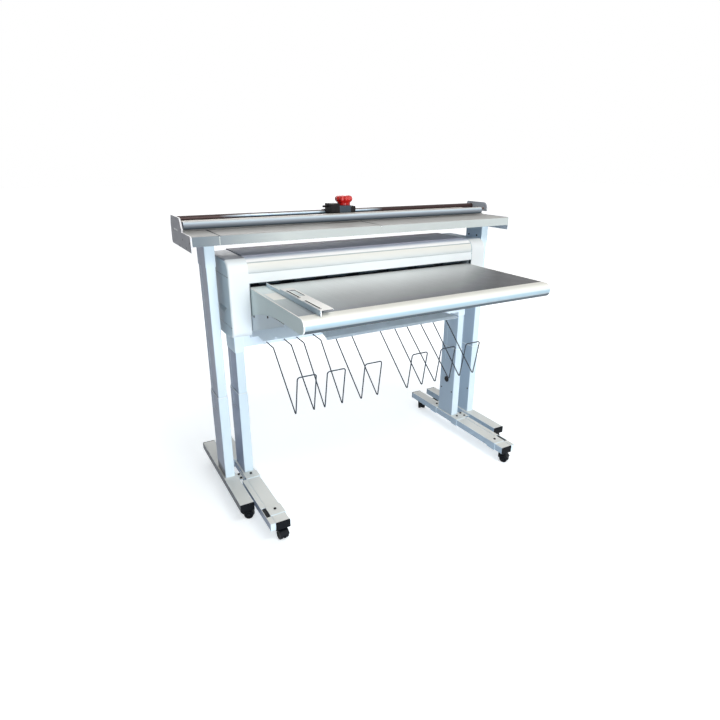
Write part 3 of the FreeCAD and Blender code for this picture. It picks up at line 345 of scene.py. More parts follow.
def guide_paint():
    """White paper guide, a painted blue shade on its fence and other faces along X, and the walls
    of its slots in shade.
    """
    s = powder_coat("guide_paint", linear(0.98, 0.98, 0.975), 0.34)
    # Painted shade: faces that look along X are tinted a cooler blue.
    sideways = s.ramp(s.math("ABSOLUTE", s.facing("X")), 0.4, 0.7)
    tint_where(s, sideways, linear(0.86, 0.94, 0.99))
    inside = s.band(s.axis("X"), GUIDE_SLOT_X - 0.006, GUIDE_SLOT_X + 0.036)
    upright = s.ramp(s.math("ABSOLUTE", s.facing("Z")), 0.4, 0.7, 1.0, 0.0)
    tint_where(s, s.math("MULTIPLY", inside, upright), linear(0.30, 0.31, 0.33))
    return s


def cap_plastic(name, white):
    """White end cap: painted shade greying its sides to the rear, parting lines, the roof's grey
    over its top in painted shade, darker on the left cap.
    """
    s = moulded(name, white, 0.38, 1300.0, 0.00004)
    # Painted shade: the sides grow greyer and bluer towards the rear.
    side = s.ramp(s.math("ABSOLUTE", s.facing("X")), 0.75, 0.95)
    stops = ((0.04, 0.84, 0.92, 0.96), (0.14, 0.74, 0.81, 0.86), (0.33, 0.56, 0.63, 0.69))
    tint_where(s, s.math("MULTIPLY", side, 0.85), s.graded(s.axis("Y"), stops))
    for z in CAP_SEAMS:
        line = s.band(s.axis("Z"), z - CAP_SEAM_HALF, z + CAP_SEAM_HALF)
        tint_where(s, s.math("MULTIPLY", line, side), linear(0.38, 0.44, 0.50))
    # The roof's grey over the cap's top, in a painted shade darker on the left cap than on the
    # right.
    level = s.math("MULTIPLY", s.ramp(s.facing("Z"), 0.30, 0.55), s.ramp(s.axis("Z"), 1.04, 1.05))
    behind_edge = s.ramp(s.axis("Y"), ROOF_EDGE_Y, ROOF_EDGE_Y + 0.004)
    right_half = s.ramp(s.axis("X"), -0.1, 0.1)
    roof_grey_lit_and_shaded = s.mix(right_half, linear(0.60, 0.61, 0.66), linear(0.66, 0.72, 0.78))
    tint_where(s, s.math("MULTIPLY", level, behind_edge), roof_grey_lit_and_shaded)
    return s


def cheek_paint():
    """Painted table cheeks with a painted highlight along their edges."""
    s = powder_coat("cheek_paint", CHEEK_GREY, 0.4)
    # Painted highlight on faces that do not look along X.
    edge = s.ramp(s.math("ABSOLUTE", s.facing("X")), 0.4, 0.6, 1.0, 0.0)
    tint_where(s, edge, linear(0.95, 0.95, 0.94))
    return s


def laminate():
    """Silver-grey laminate grained along the feed, with a painted reflection paler to the rear,
    painted light at the left and a dark one at the right.
    """
    s = Surface("table_laminate")
    front_grey = linear(0.45, 0.46, 0.48)
    rear_reflection_grey = linear(0.94, 0.96, 0.965)
    end_reflection_grey = linear(0.20, 0.205, 0.22)
    # Painted reflection: the table top is paler towards the rear.
    rearward = s.ramp(s.axis("Y"), -0.44, -0.02)
    base = s.mix(rearward, front_grey, rear_reflection_grey)
    # Painted dark reflection towards the right end of the table.
    towards_end = s.math("SUBTRACT", s.axis("X"), s.math("MULTIPLY", s.axis("Y"), 0.925))
    base = s.mix(s.ramp(towards_end, 0.15, 0.60, 0.0, 0.40), base, end_reflection_grey)
    base = s.mix(s.ramp(towards_end, 0.50, 0.70, 0.0, 0.9), base, end_reflection_grey)
    # Painted light: paler and bluer towards the left edge.
    left_light_grey = s.mix(rearward, linear(0.56, 0.60, 0.635), linear(0.95, 1.0, 1.0))
    base = s.mix(s.ramp(s.axis("X"), -0.30, -0.60, 0.0, 0.8), base, left_light_grey)
    grain = s.noise(1.0, 5.0, 0.62, s.stretched(520.0, 6.0, 520.0))
    mottle = s.noise(1300.0, 2.0)
    tone = s.ramp(grain, 0.3, 0.7, 0.94, 1.05)
    tone = s.math("ADD", tone, s.ramp(mottle, 0.45, 0.65, 0.0, 0.05))
    s.set(Base_Color=s.scaled(base, tone), Metallic=0.1, Specular_IOR_Level=0.18)
    s.set(Roughness=s.ramp(s.noise(18.0, 4.0), 0.3, 0.7, 0.36, 0.44))
    s.set(Normal=s.bump(mottle, 0.00004, 0.4))
    return s


def nose_metal():
    """Satin nose profile with a painted highlight on its crown, a grey-blue front and painted shade
    on its underside.
    """
    s = drawn_metal("nose_alloy", linear(0.70, 0.765, 0.80), "X", 0.42, 0.06, 0.1)
    # Painted light by height: a highlight on the crown and shade darkening the underside.
    stops = ((0.9170, 0.16, 0.20, 0.23), (0.9255, 0.23, 0.27, 0.30),
             (0.9285, 0.62, 0.66, 0.67), (0.9350, 0.60, 0.69, 0.735),
             (0.9415, 0.62, 0.71, 0.745), (0.9455, 0.80, 0.83, 0.83),
             (0.9510, 0.85, 0.855, 0.835), (0.9560, 0.89, 0.885, 0.855))
    tint_where(s, 0.9, s.graded(s.axis("Z"), stops))
    s.set(Specular_IOR_Level=0.2)
    return s


def clamp_metal():
    """Anodised clamp tube in painted light and shade, darker below and bright near its top, with a
    dark joint line and a cream rear strip.
    """
    s = drawn_metal("clamp_alloy", linear(0.72, 0.76, 0.80), "X", 0.45, 0.05, 0.05)
    # Painted shade below and a painted highlight near the top, by the way each face looks.
    stops = ((-0.90, 0.14, 0.18, 0.21), (-0.62, 0.30, 0.36, 0.40),
             (-0.30, 0.43, 0.46, 0.50), (0.00, 0.51, 0.54, 0.57),
             (0.30, 0.59, 0.63, 0.68), (0.60, 0.77, 0.84, 0.88),
             (0.85, 0.84, 0.86, 0.87), (1.00, 0.72, 0.71, 0.70))
    tint_where(s, 0.9, s.graded(s.facing("Z"), stops))
    tint_where(s, s.ramp(s.axis("Y"), 0.2080, 0.2086), linear(0.42, 0.35, 0.33))
    tint_where(s, s.ramp(s.axis("Y"), 0.2190, 0.2196), linear(0.93, 0.91, 0.86))
    s.set(Specular_IOR_Level=0.12)
    return s


def guide_chrome():
    """Chrome guide bar with painted reflections: dark brown, with a narrow bright painted highlight
    along its middle part.
    """
    s = drawn_metal("guide_chrome", linear(0.35, 0.30, 0.30), "X", 0.30, 0.08, 0.25)
    # Painted reflections by facing; the bright line lies only along the middle part of the bar.
    stops = ((-0.20, 0.24, 0.24, 0.27), (0.12, 0.34, 0.40, 0.46),
             (0.32, 0.72, 0.84, 0.92), (0.66, 0.93, 0.96, 0.98),
             (0.76, 0.34, 0.28, 0.28), (1.00, 0.30, 0.22, 0.22))
    begins = s.ramp(s.axis("X"), -0.60, -0.44)
    ends = s.ramp(s.axis("X"), 0.12, 0.21, 1.0, 0.0)
    lit = s.math("MULTIPLY", begins, ends)
    tint_where(s, 0.9, s.mix(lit, linear(0.25, 0.19, 0.19), s.graded(s.facing("Z"), stops)))
    s.set(Specular_IOR_Level=0.15)
    return s


def head_plastic():
    """Textured black cutter head with a blue-grey block under the knob."""
    s = moulded("head_plastic", linear(0.075, 0.07, 0.075), 0.5, 1100.0, 0.0001)
    wear = s.ramp(s.noise(60.0, 4.0, 0.6), 0.45, 0.75, 0.0, 0.5)
    tint_where(s, wear, linear(0.17, 0.145, 0.14))
    block = s.band(s.axis("X"), HEAD_BLOCKS[1][0], HEAD_BLOCKS[1][1])
    tint_where(s, block, linear(0.25, 0.29, 0.325))
    s.set(Specular_IOR_Level=0.12)
    return s


def knob_plastic():
    """Glossy red, with painted shade deepening the neck under the grip."""
    s = moulded("knob_red", linear(0.74, 0.10, 0.08), 0.3, 900.0, 0.00002)
    # Painted shade: deeper red on the neck under the grip.
    tint_where(s, s.ramp(s.axis("Z"), 1.264, 1.250, 0.0, 0.6), linear(0.56, 0.07, 0.06))
    s.set(Coat_Weight=0.25, Coat_Roughness=0.12, Specular_IOR_Level=0.25)
    return s


def assign(surface, *names):
    """Puts one finish on every material slot of the named nodes."""
    for name in names:
        mesh = nodes[name].data
        if not mesh.materials:
            mesh.materials.append(surface.material)
        for i in range(len(mesh.materials)):
            mesh.materials[i] = surface.material


def dress_frame():
    """Gives every CAD piece its finish."""
    stand = stand_paint()
    chute = powder_coat("chute_paint", CHUTE_BLUE, 0.45)
    white = moulded("collar_plastic", WHITE, 0.38, 1300.0, 0.00004)
    steel = drawn_metal("plain_steel", linear(0.66, 0.67, 0.69), "X", 0.32)
    assign(stand, "machine_leg_left", "machine_leg_right", "trimmer_leg_left", "trimmer_leg_right")
    assign(stand, "machine_columns", "trimmer_columns", "foot_brackets", "stand_couplers")
    assign(chute, "crossbeam", "chute_tray", "chute_ramp")
    assign(cap_plastic("left_cap_plastic", WHITE), "end_cap_left")
    # The right cap in a painted darker shade of the same white.
    assign(cap_plastic("right_cap_shaded_plastic", linear(0.88, 0.895, 0.90)), "end_cap_right")
    assign(white, "glide_collars")
    assign(black_plastic, "foot_end_plugs")
    assign(black_steel, "stand_bolts")
    for name in nodes:
        if name.startswith("castor_fork"):
            assign(black_plastic, name)
        if name.startswith("castor_wheels"):
            assign(wheel_plastic, name)
    assign(cover_paint(), "front_cover")
    assign(powder_coat("lip_paint", WHITE, 0.34), "feed_lip")
    assign(guide_paint(), "paper_guide")
    assign(cheek_paint(), "table_side_plates")
    assign(roof_paint(), "top_cover")
    assign(powder_coat("pan_paint", linear(0.30, 0.30, 0.31), 0.5), "base_pan")
    assign(powder_coat("frame_paint", linear(0.60, 0.64, 0.67)), "side_frames")
    assign(steel, "drive_motor", "counter_blade", "cutter_blade")
    assign(drawn_metal("bearing_steel", linear(0.34, 0.35, 0.37), "X", 0.45, 0.12, 0.3),
           "roller_bearings")
    assign(drawn_metal("wire_steel", linear(0.20, 0.235, 0.28), "X", 0.38, 0.15, 0.5),
           "basket_wires_left", "basket_wires_right")
    assign(rubbery("roller_rubber", linear(0.17, 0.235, 0.27)), "feed_roller_upper")
    assign(drawn_metal("roller_steel", linear(0.52, 0.53, 0.55), "X", 0.3),
           "feed_roller_lower", "fold_roller_front", "fold_roller_rear")
    assign(rubbery("belt_rubber", linear(0.13, 0.13, 0.13)), "drive_belt")
    assign(drawn_metal("pulley_alloy", linear(0.75, 0.76, 0.77), "X", 0.3), "motor_pulley")
    assign(nose_metal(), "table_nose")
    rail = drawn_metal("rail_alloy", linear(0.66, 0.66, 0.65), "X", 0.5, 0.06, 0.1)
    rail.set(Specular_IOR_Level=0.1)
    assign(rail, "cutting_rail")
    assign(clamp_metal(), "clamp_bar")
    assign(laminate(), "feed_table")
    assign(trimmer_table_paint(), "trimmer_table")
    assign(end_plate_paint(), "trimmer_end_plates")
    assign(guide_chrome(), "guide_bar")


black_plastic = moulded("black_plastic", BLACK, 0.45)
black_plastic.set(Specular_IOR_Level=0.1)
wheel_plastic = moulded("wheel_plastic", linear(0.06, 0.07, 0.09), 0.4)
wheel_plastic.set(Specular_IOR_Level=0.15)
black_steel = drawn_metal("black_steel", linear(0.12, 0.12, 0.13), "Z", 0.4, 0.2, 0.6)
dress_frame()


# Places on the object that the added pieces sit on, in metres. Profiles of turned pieces list
# (distance outwards, radius), screws list (y, z).
WHEEL_FACE = 0.0195
HUB_PROFILE = ((-0.0030, 0.0128), (-0.0012, 0.0128), (-0.0006, 0.0122), (-0.0006, 0.0102),
               (-0.0016, 0.0092), (-0.0016, 0.0062), (-0.0002, 0.0054), (0.0, 0.0040))
END_PLATE_FACE = 0.788
END_PLATE_SCREWS = ((0.054, 1.154), (0.167, 1.155), (0.111, 1.129), (0.231, 1.126), (0.337, 1.219))
TRIMMER_SOCKET_FACE = 0.683
TRIMMER_SLEEVE_FACE = 0.6825
SOCKET_SCREWS = ((0.144, 1.085), (0.204, 1.085))
TRIMMER_SLEEVE_SCREW = (0.120, 0.233)
MACHINE_SLEEVE_SCREWS = ((0.122, 0.234), (0.211, 0.234))
MACHINE_MID = -0.010
MACHINE_LEG_MID = -0.012
MACHINE_LEG_HALF = 0.603
MACHINE_SLEEVE_FACE = 0.5815
CHUTE_ARM_FACE = 0.566
CHUTE_ARM_SCREWS = ((0.003, 0.8577), (-0.158, 0.8957))
REAR_WALL_FACE = 0.328
REAR_SCREW_ROWS = (0.790, 0.945)
REAR_SCREW_SPACING = 0.26
SCREW_RADIUS = 0.0045
SLEEVE_SCREW_RADIUS = 0.0042
SLEEVE_SCREW_HEIGHT = 0.0016
TABLE_TOP = 0.966
LABEL_SIDES = (-0.560, -0.510, -0.190, -0.085)
LABEL_THICKNESS = 0.0002
DUCT_FRONT, DUCT_REAR = -0.2545, -0.1915
DUCT_LOW, DUCT_HEIGHT = 0.0700, 0.0215
SEAM_FRONT, SEAM_REAR = 0.0335, 0.3600
SEAM_LOW, SEAM_HEIGHT = 1.1765, 0.0022
APRON_JOINT_TOP = 1.1735
SLIT_LIGHT_RING = ((0.244, 1.179), (0.312, 1.179), (0.312, 1.186), (0.244, 1.186))
SLIT_LIGHT_CORNER = 0.0034
HEAD_FRONT, HEAD_REAR = 0.240, 0.345
KNOB_FOOT = 1.226
KNOB_STEM = ((0.0, 0.010), (0.0225, 0.010), (0.0225, 0.030), (0.0350, 0.0305))
KNOB_GRIP = ((0.0385, 0.034), (0.0430, 0.0385), (0.0490, 0.0410), (0.0550, 0.0408),
             (0.0605, 0.0385), (0.0650, 0.0330), (0.0668, 0.0270))
KNOB_CROWN = (0.0670, 0.0200)
APRON_FACE = 0.0302
APRON_LOW = 1.1432
REAR_FLANGE_FACE = 0.3623
REAR_FLANGE_LOW = 1.1502
axle_directions = {joint["name"][len("roll_"):]: Vector(joint["axis"]).normalized()
                   for joint in frame["record"]["behaviour"]["joints"]
                   if joint["name"].startswith("roll_")}


# Pieces that the CAD leaves to this script: screws, hubs, strips, the label plate, head and knob
def plain_round(angle):
    """Circle."""
    return 1.0


def hexagonal(angle):
    """Wall of a key socket."""
    return math.cos(math.pi / 6) / math.cos(angle % (math.pi / 3) - math.pi / 6)


def lobed(angle):
    """Finger grips round a knob."""
    return 1.0 - 0.09 * (0.5 - 0.5 * math.cos(KNOB_LOBES * angle)) ** 2


def rounds(*pairs):
    """Circular rings for turned, from pairs of (distance along out, radius)."""
    return [(along, radius, plain_round) for along, radius in pairs]


def turned(mesh, seat, out, rings, steps=24):
    """Closed turned body on seat, from rings of (distance along out, radius, form of the ring)."""
    out = Vector(out).normalized()
    across = out.orthogonal().normalized()
    upward = out.cross(across)
    loops = []
    for along, radius, form in rings:
        loop = []
        for k in range(steps):
            angle = 2 * math.pi * k / steps
            spoke = across * math.cos(angle) + upward * math.sin(angle)
            loop.append(mesh.verts.new(Vector(seat) + out * along + spoke * radius * form(angle)))
        loops.append(loop)
    for low, high in zip(loops, loops[1:]):
        for k in range(steps):
            after = (k + 1) % steps
            mesh.faces.new((low[k], low[after], high[after], high[k]))
    mesh.faces.new(list(reversed(loops[0])))
    mesh.faces.new(loops[-1])


def slab(mesh, corners, thickness):
    """Prism from a flat outline, its corners listed counter-clockwise seen from where it grows."""
    base = [Vector(c) for c in corners]
    rise = (base[1] - base[0]).cross(base[2] - base[1]).normalized() * thickness
    low = [mesh.verts.new(c) for c in base]
    high = [mesh.verts.new(c + rise) for c in base]
    mesh.faces.new(list(reversed(low)))
    mesh.faces.new(high)
    for k in range(len(base)):
        after = (k + 1) % len(base)
        mesh.faces.new((low[k], low[after], high[after], high[k]))


def rounded_rectangle(x0, x1, y0, y1, z, radius, steps=5):
    """Corners of a level rounded rectangle, counter-clockwise from above."""
    points = []
    centres = ((x1 - radius, y0 + radius, -90), (x1 - radius, y1 - radius, 0),
               (x0 + radius, y1 - radius, 90), (x0 + radius, y0 + radius, 180))
    for x, y, start in centres:
        for k in range(steps + 1):
            angle = math.radians(start + 90.0 * k / steps)
            points.append((x + radius * math.cos(angle), y + radius * math.sin(angle), z))
    return points


def linked(name, data):
    """A new object in the scene."""
    thing = bpy.data.objects.new(name, data)
    bpy.context.scene.collection.objects.link(thing)
    return thing


def solid_object(name, mesh):
    """Turns a finished bmesh into an object and frees it."""
    data = bpy.data.meshes.new(name)
    bmesh.ops.recalc_face_normals(mesh, faces=mesh.faces)
    mesh.to_mesh(data)
    mesh.free()
    return linked(name, data)


def piece(name, body, surface, mesh, bevel=0.0):
    """One added piece: smooth but for its edges, in its finish, riding on its body."""
    thing = solid_object(name, mesh)
    for polygon in thing.data.polygons:
        polygon.use_smooth = True
    thing.data.set_sharp_from_angle(angle=math.radians(32))
    thing.data.materials.append(surface.material)
    if bevel:
        edges = thing.modifiers.new("edges", "BEVEL")
        edges.width = bevel
        edges.segments = 2
    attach(thing, body)
    return thing


def cap_screw(mesh, seat, out, radius, height):
    """Low round head with a rounded rim and a hexagonal socket."""
    rim = height * 0.35
    key = radius * 0.48
    rings = rounds((-0.0004, radius * 0.97), (0.0, radius), (height - rim, radius),
                   (height - rim * 0.3, radius * 0.93), (height, radius * 0.8))
    rings += [(height, key, hexagonal), (height * 0.35, key, hexagonal)]
    turned(mesh, seat, out, rings)


def flush_screw(mesh, seat, out, radius):
    """Countersunk head: a flat disc with a thin rim and a hexagonal socket, sunk into its seat."""
    key = radius * 0.42
    rings = rounds((-0.0022, radius * 0.55), (-0.0002, radius), (0.0, radius * 0.96))
    rings += [(0.0, key, hexagonal), (-0.0015, key, hexagonal)]
    turned(mesh, seat, out, rings)


def wheel_hubs():
    """Dished hub cap with a raised centre on the outer face of each castor wheel."""
    for name in sorted(nodes):
        if not name.startswith("castor_wheels"):
            continue
        label = name[len("castor_wheels_"):]
        axis = axle_directions[label]
        low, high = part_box(name)
        middle = (Vector(low) + Vector(high)) / 2
        mesh = bmesh.new()
        for side in (-1, 1):
            out = axis * side
            turned(mesh, middle + out * WHEEL_FACE, out, rounds(*HUB_PROFILE))
        piece("castor_hubs_" + label, "wheels_" + label, black_plastic, mesh)


def end_plate_screws():
    """Flush screws that hold the trimmer's end plates, sunk into their countersinks."""
    for side, label in ((-1, "left"), (1, "right")):
        mesh = bmesh.new()
        for y, z in END_PLATE_SCREWS:
            flush_screw(mesh, (side * END_PLATE_FACE, y, z), (side, 0, 0), 0.00445)
        piece("end_plate_screws_" + label, "trimmer", black_steel, mesh)


def inner_face_screws():
    """Screws on faces that look towards the middle: sockets and sleeves of the four columns."""
    upper = bmesh.new()
    lower = bmesh.new()
    for side in (-1, 1):
        inward = (-side, 0, 0)
        for y, z in SOCKET_SCREWS:
            cap_screw(upper, (side * TRIMMER_SOCKET_FACE, y, z), inward, SCREW_RADIUS, 0.0022)
        seats = [(side * TRIMMER_SLEEVE_FACE, *TRIMMER_SLEEVE_SCREW)]
        seats += [(MACHINE_LEG_MID + side * MACHINE_SLEEVE_FACE, y, z)
                  for y, z in MACHINE_SLEEVE_SCREWS]
        for seat in seats:
            cap_screw(lower, seat, inward, SLEEVE_SCREW_RADIUS, SLEEVE_SCREW_HEIGHT)
    piece("trimmer_socket_screws", "trimmer", black_steel, upper)
    piece("sleeve_screws", "stand", black_steel, lower)


def chute_arm_screws():
    """Two screws on the outer face of each arm that carries the chute."""
    mesh = bmesh.new()
    for side in (-1, 1):
        face = MACHINE_MID + side * CHUTE_ARM_FACE
        for y, z in CHUTE_ARM_SCREWS:
            cap_screw(mesh, (face, y, z), (side, 0, 0), SCREW_RADIUS, 0.0025)
    piece("chute_arm_screws", "machine", black_steel, mesh)


def rear_wall_screws():
    """Row of low screws along the upper and lower edge of the machine's rear wall."""
    mesh = bmesh.new()
    for z in REAR_SCREW_ROWS:
        for k in range(5):
            x = MACHINE_MID + (k - 2) * REAR_SCREW_SPACING
            cap_screw(mesh, (x, REAR_WALL_FACE, z), (0, 1, 0), SCREW_RADIUS, 0.0020)
    piece("rear_wall_screws", "machine", black_steel, mesh)


def label_plate():
    """Bare off-white plate, stuck on the feed table near its left edge."""
    mesh = bmesh.new()
    slab(mesh, rounded_rectangle(*LABEL_SIDES, TABLE_TOP, 0.003), LABEL_THICKNESS)
    plate = moulded("label_cream", linear(0.98, 0.98, 0.965), 0.5, 700.0, 0.00002)
    piece("table_label_plate", "machine", plate, mesh)


def duct_inserts():
    """Black block in the gap of each side duct, where the hoses come up."""
    mesh = bmesh.new()
    for side in (-1, 1):
        inner = MACHINE_LEG_MID + side * (MACHINE_LEG_HALF + 0.0305)
        x0, x1 = sorted((inner, inner + side * 0.0190))
        block = rounded_rectangle(x0, x1, DUCT_FRONT, DUCT_REAR, DUCT_LOW, 0.003)
        slab(mesh, block, DUCT_HEIGHT)
    piece("duct_inserts", "stand", black_plastic, mesh, 0.0008)


def seam_strips():
    """Dark strip in the gap between neighbouring panels of the trimmer's table, standing in for the
    shade in the gap.
    """
    mesh = bmesh.new()
    for x in PANEL_JOINTS:
        strip = rounded_rectangle(x - JOINT_HALF, x + JOINT_HALF, SEAM_FRONT, SEAM_REAR,
                                  SEAM_LOW, 0.0008)
        slab(mesh, strip, SEAM_HEIGHT)
    rubber = rubbery("seam_shade_rubber", linear(0.10, 0.11, 0.12))
    piece("table_seam_strips", "trimmer", rubber, mesh)


def eased(outline, radii, steps=4):
    """The outline with the corners that radii names rounded off."""
    points = []
    for i, place in enumerate(outline):
        corner = Vector(place)
        if i not in radii:
            points.append(corner)
            continue
        before = (Vector(outline[i - 1]) - corner).normalized()
        after = (Vector(outline[(i + 1) % len(outline)]) - corner).normalized()
        start = corner + before * radii[i]
        end = corner + after * radii[i]
        for k in range(steps + 1):
            t = k / steps
            points.append(start.lerp(corner, t).lerp(corner.lerp(end, t), t))
    return points


def carved(blocks, hollows):
    """Joins closed bodies to one and cuts other closed bodies out of it."""
    whole = solid_object("body", blocks[0])
    tools = []
    for operation, bodies in (("UNION", blocks[1:]), ("DIFFERENCE", hollows)):
        for body in bodies:
            tool = solid_object("body", body)
            step = whole.modifiers.new("carve", "BOOLEAN")
            step.operation = operation
            step.solver = "EXACT"
            step.object = tool
            tools.append(tool)
    bpy.context.view_layer.update()
    shown = whole.evaluated_get(bpy.context.evaluated_depsgraph_get())
    mesh = bmesh.new()
    mesh.from_mesh(shown.to_mesh())
    shown.to_mesh_clear()
    for thing in tools + [whole]:
        bpy.data.objects.remove(thing)
    return mesh


def rod(seat, out, radius, length):
    """Closed cylinder, as a body to join or to cut with."""
    mesh = bmesh.new()
    turned(mesh, seat, out, rounds((0.0, radius), (length, radius)), 48)
    return mesh


def cutter_head():
    """Sliding head round the guide bar: tall left housing, lower block under the knob, slim end."""
    blocks = []
    for x0, x1, top, shoulder in HEAD_BLOCKS:
        outline = [(x0, HEAD_FRONT, HEAD_LOW), (x0, HEAD_REAR, HEAD_LOW), (x0, HEAD_REAR, 1.230)]
        outline += [(x0, shoulder, 1.234), (x0, shoulder, top), (x0, HEAD_FRONT, top)]
        mesh = bmesh.new()
        slab(mesh, eased(outline, {2: 0.003, 4: 0.006, 5: 0.006}), x1 - x0)
        blocks.append(mesh)
    left = HEAD_BLOCKS[0][0]
    blocks.append(rod((left - 0.022, KNOB_Y, 1.247), (1, 0, 0), 0.0045, 0.030))
    hollows = [rod((left - 0.010, *BAR_CENTRE), (1, 0, 0), 0.01405, 0.150)]
    hollows.append(rod((KNOB_X, KNOB_Y, 1.244), (0, 0, 1), 0.0312, 0.030))
    hollows.append(rod((KNOB_X, KNOB_Y, 1.218), (0, 0, 1), 0.01005, 0.040))
    hollows.append(rod((KNOB_X, 0.243, 1.208), (0, 1, 0), 0.0252, 0.0042))
    hollows.append(rod((KNOB_X, 0.245, 1.208), (0, 1, 0), 0.00305, 0.019))
    head = piece("cutter_head", "carriage", head_plastic(), carved(blocks, hollows))
    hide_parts("cutter_carriage")


def knob_cap():
    """Lobed knob on a broad neck, its stem in the head."""
    grip = [(along, radius, lobed) for along, radius in KNOB_GRIP]
    rings = rounds(*KNOB_STEM) + grip + rounds(KNOB_CROWN)
    mesh = bmesh.new()
    turned(mesh, (KNOB_X, KNOB_Y, KNOB_FOOT), (0, 0, 1), rings, 96)
    knob = piece("knob_cap", "knob", knob_plastic(), mesh)
    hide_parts("cutter_knob")


def end_plate_slit_light():
    """White piece in the slit of the left end plate, standing in for the light seen through the
    slit.
    """
    mesh = bmesh.new()
    x = -END_PLATE_FACE + 0.0006
    outline = [(x, y, z) for y, z in SLIT_LIGHT_RING]
    slab(mesh, eased(outline, {i: SLIT_LIGHT_CORNER for i in range(4)}), 0.0018)
    slit_light_piece = moulded("slit_light_white", linear(1.0, 1.0, 1.0), 0.4, 900.0, 0.00002)
    piece("end_plate_slit_light", "trimmer", slit_light_piece, mesh)


def apron_joint_strips():
    """Painted filler where the table's joints run down the apron and the rear flange."""
    mesh = bmesh.new()
    for x in PANEL_JOINTS:
        for y, low in ((APRON_FACE, APRON_LOW), (REAR_FLANGE_FACE, REAR_FLANGE_LOW)):
            strip = rounded_rectangle(x - JOINT_HALF, x + JOINT_HALF, y, y + 0.0025, low, 0.0003)
            slab(mesh, strip, APRON_JOINT_TOP - low)
    filler = powder_coat("joint_paint", TRIMMER_GREY, 0.5)
    piece("apron_joint_strips", "trimmer", filler, mesh)


wheel_hubs()
end_plate_screws()
inner_face_screws()
chute_arm_screws()
rear_wall_screws()
label_plate()
duct_inserts()
seam_strips()
apron_joint_strips()
end_plate_slit_light()
cutter_head()
knob_cap()


# Studio
def point_camera():
    """Camera of the photograph, from its place and its three angles."""
    ahead_flat = Vector((math.sin(CAMERA_YAW), math.cos(CAMERA_YAW), 0.0))
    right = Vector((math.cos(CAMERA_YAW), -math.sin(CAMERA_YAW), 0.0))
    up = Vector((0.0, 0.0, 1.0))
    ahead = ahead_flat * math.cos(CAMERA_PITCH) - up * math.sin(CAMERA_PITCH)
    down = -ahead_flat * math.sin(CAMERA_PITCH) - up * math.cos(CAMERA_PITCH)
    camera_x = right * math.cos(CAMERA_ROLL) + down * math.sin(CAMERA_ROLL)
    camera_y = right * math.sin(CAMERA_ROLL) - down * math.cos(CAMERA_ROLL)
    data = bpy.data.cameras.new("camera")
    data.sensor_width = 36.0
    data.lens = data.sensor_width * FOCAL_PIXELS / PHOTO_PIXELS
    camera = linked("camera", data)
    turn = Matrix((camera_x, camera_y, -ahead)).transposed().to_4x4()
    camera.matrix_world = Matrix.Translation(CAMERA_PLACE) @ turn
    bpy.context.scene.camera = camera


def area_light(name, place, target, size, power, colour=(1.0, 1.0, 1.0)):
    data = bpy.data.lights.new(name, "AREA")
    data.shape = "RECTANGLE"
    data.size, data.size_y = size
    data.energy = power
    data.color = colour
    light = linked(name, data)
    light.location = place
    light.rotation_euler = (Vector(target) - Vector(place)).to_track_quat("-Z", "Y").to_euler()


def mixed_for_sight(tree, unseen, seen):
    """Shows the shader seen to camera, glossy and transmission rays, and unseen to all others."""
    path = tree.nodes.new("ShaderNodeLightPath")
    sight = path.outputs["Is Camera Ray"]
    for ray in ("Is Glossy Ray", "Is Transmission Ray"):
        either = tree.nodes.new("ShaderNodeMath")
        either.operation = "MAXIMUM"
        tree.links.new(sight, either.inputs[0])
        tree.links.new(path.outputs[ray], either.inputs[1])
        sight = either.outputs[0]
    mixed = tree.nodes.new("ShaderNodeMixShader")
    for socket, source in zip(mixed.inputs, (sight, unseen, seen)):
        tree.links.new(source, socket)
    return mixed.outputs[0]


def background(tree, colour, strength):
    node = tree.nodes.new("ShaderNodeBackground")
    node.inputs["Color"].default_value = colour
    node.inputs["Strength"].default_value = strength
    return node.outputs[0]


def build_world():
    """White to look at, while it lights the object only with a faint blue."""
    world = bpy.data.worlds.new("studio")
    world.use_nodes = True
    tree = world.node_tree
    tree.nodes.clear()
    faint_blue = background(tree, (0.75, 0.88, 1.0, 1.0), 0.06)
    white = background(tree, (1.0, 1.0, 1.0, 1.0), 1.0)
    out = tree.nodes.new("ShaderNodeOutputWorld")
    tree.links.new(mixed_for_sight(tree, faint_blue, white), out.inputs["Surface"])
    bpy.context.scene.world = world


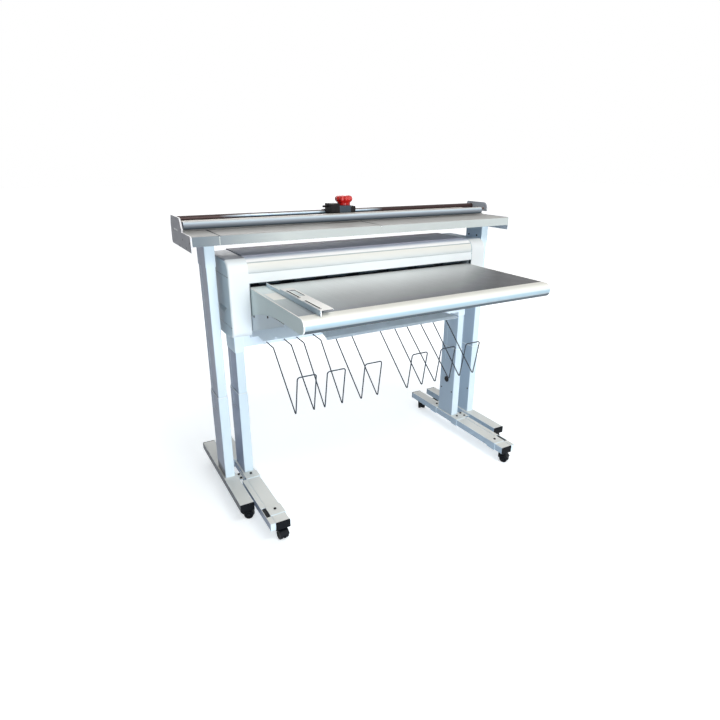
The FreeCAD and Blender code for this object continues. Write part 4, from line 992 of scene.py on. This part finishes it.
def build_floor():
    """Wide floor that glows for sight, weaker round the object, so that a soft shadow stays."""
    mesh = bpy.data.meshes.new("floor")
    half = 30.0
    corners = [(-half, -half, 0), (half, -half, 0), (half, half, 0), (-half, half, 0)]
    mesh.from_pydata(corners, [], [(0, 1, 2, 3)])
    floor = linked("floor", mesh)
    material = bpy.data.materials.new("studio_floor")
    material.use_nodes = True
    tree = material.node_tree
    shader = next(n for n in tree.nodes if n.type == "BSDF_PRINCIPLED")
    shader.inputs["Base Color"].default_value = (0.70, 0.76, 0.80, 1.0)
    shader.inputs["Roughness"].default_value = 0.8
    glow = tree.nodes.new("ShaderNodeEmission")
    glow.inputs["Color"].default_value = (1.0, 1.0, 1.0, 1.0)
    place = tree.nodes.new("ShaderNodeTexCoord")
    reach = tree.nodes.new("ShaderNodeVectorMath")
    reach.operation = "LENGTH"
    tree.links.new(place.outputs["Object"], reach.inputs[0])
    fade = tree.nodes.new("ShaderNodeMapRange")
    for socket, value in (("From Min", 1.0), ("From Max", 3.6), ("To Min", 0.55), ("To Max", 1.0)):
        fade.inputs[socket].default_value = value
    tree.links.new(reach.outputs["Value"], fade.inputs["Value"])
    tree.links.new(fade.outputs["Result"], glow.inputs["Strength"])
    added = tree.nodes.new("ShaderNodeAddShader")
    tree.links.new(shader.outputs[0], added.inputs[0])
    tree.links.new(glow.outputs[0], added.inputs[1])
    out = next(n for n in tree.nodes if n.type == "OUTPUT_MATERIAL")
    lifted = mixed_for_sight(tree, shader.outputs[0], added.outputs[0])
    tree.links.new(lifted, out.inputs["Surface"])
    mesh.materials.append(material)


def light_studio():
    """Seven soft lamps, most of the light from the front."""
    middle = (0.0, 0.0, 0.85)
    area_light("front", (0.4, -4.2, 1.6), middle, (4.0, 1.2), 80.0, (0.95, 0.97, 1.0))
    area_light("low_front", (-0.3, -2.9, 0.45), (0.0, 0.0, 0.7), (2.0, 0.7), 34.0,
               (0.80, 0.88, 1.0))
    area_light("high_front", (0.3, -2.4, 3.6), middle, (1.6, 1.0), 64.0, (1.0, 0.97, 0.91))
    area_light("high_left", (-1.6, -3.3, 3.2), middle, (1.8, 1.2), 18.0, (1.0, 0.96, 0.88))
    area_light("top", (0.2, 0.6, 4.2), middle, (3.0, 2.0), 22.0)
    area_light("back", (0.3, 3.4, 2.6), middle, (3.0, 1.6), 52.0)
    area_light("right", (3.9, 0.2, 1.8), middle, (1.6, 1.6), 20.0)


point_camera()
build_world()
build_floor()
light_studio()
bpy.context.scene.view_settings.view_transform = "Standard"
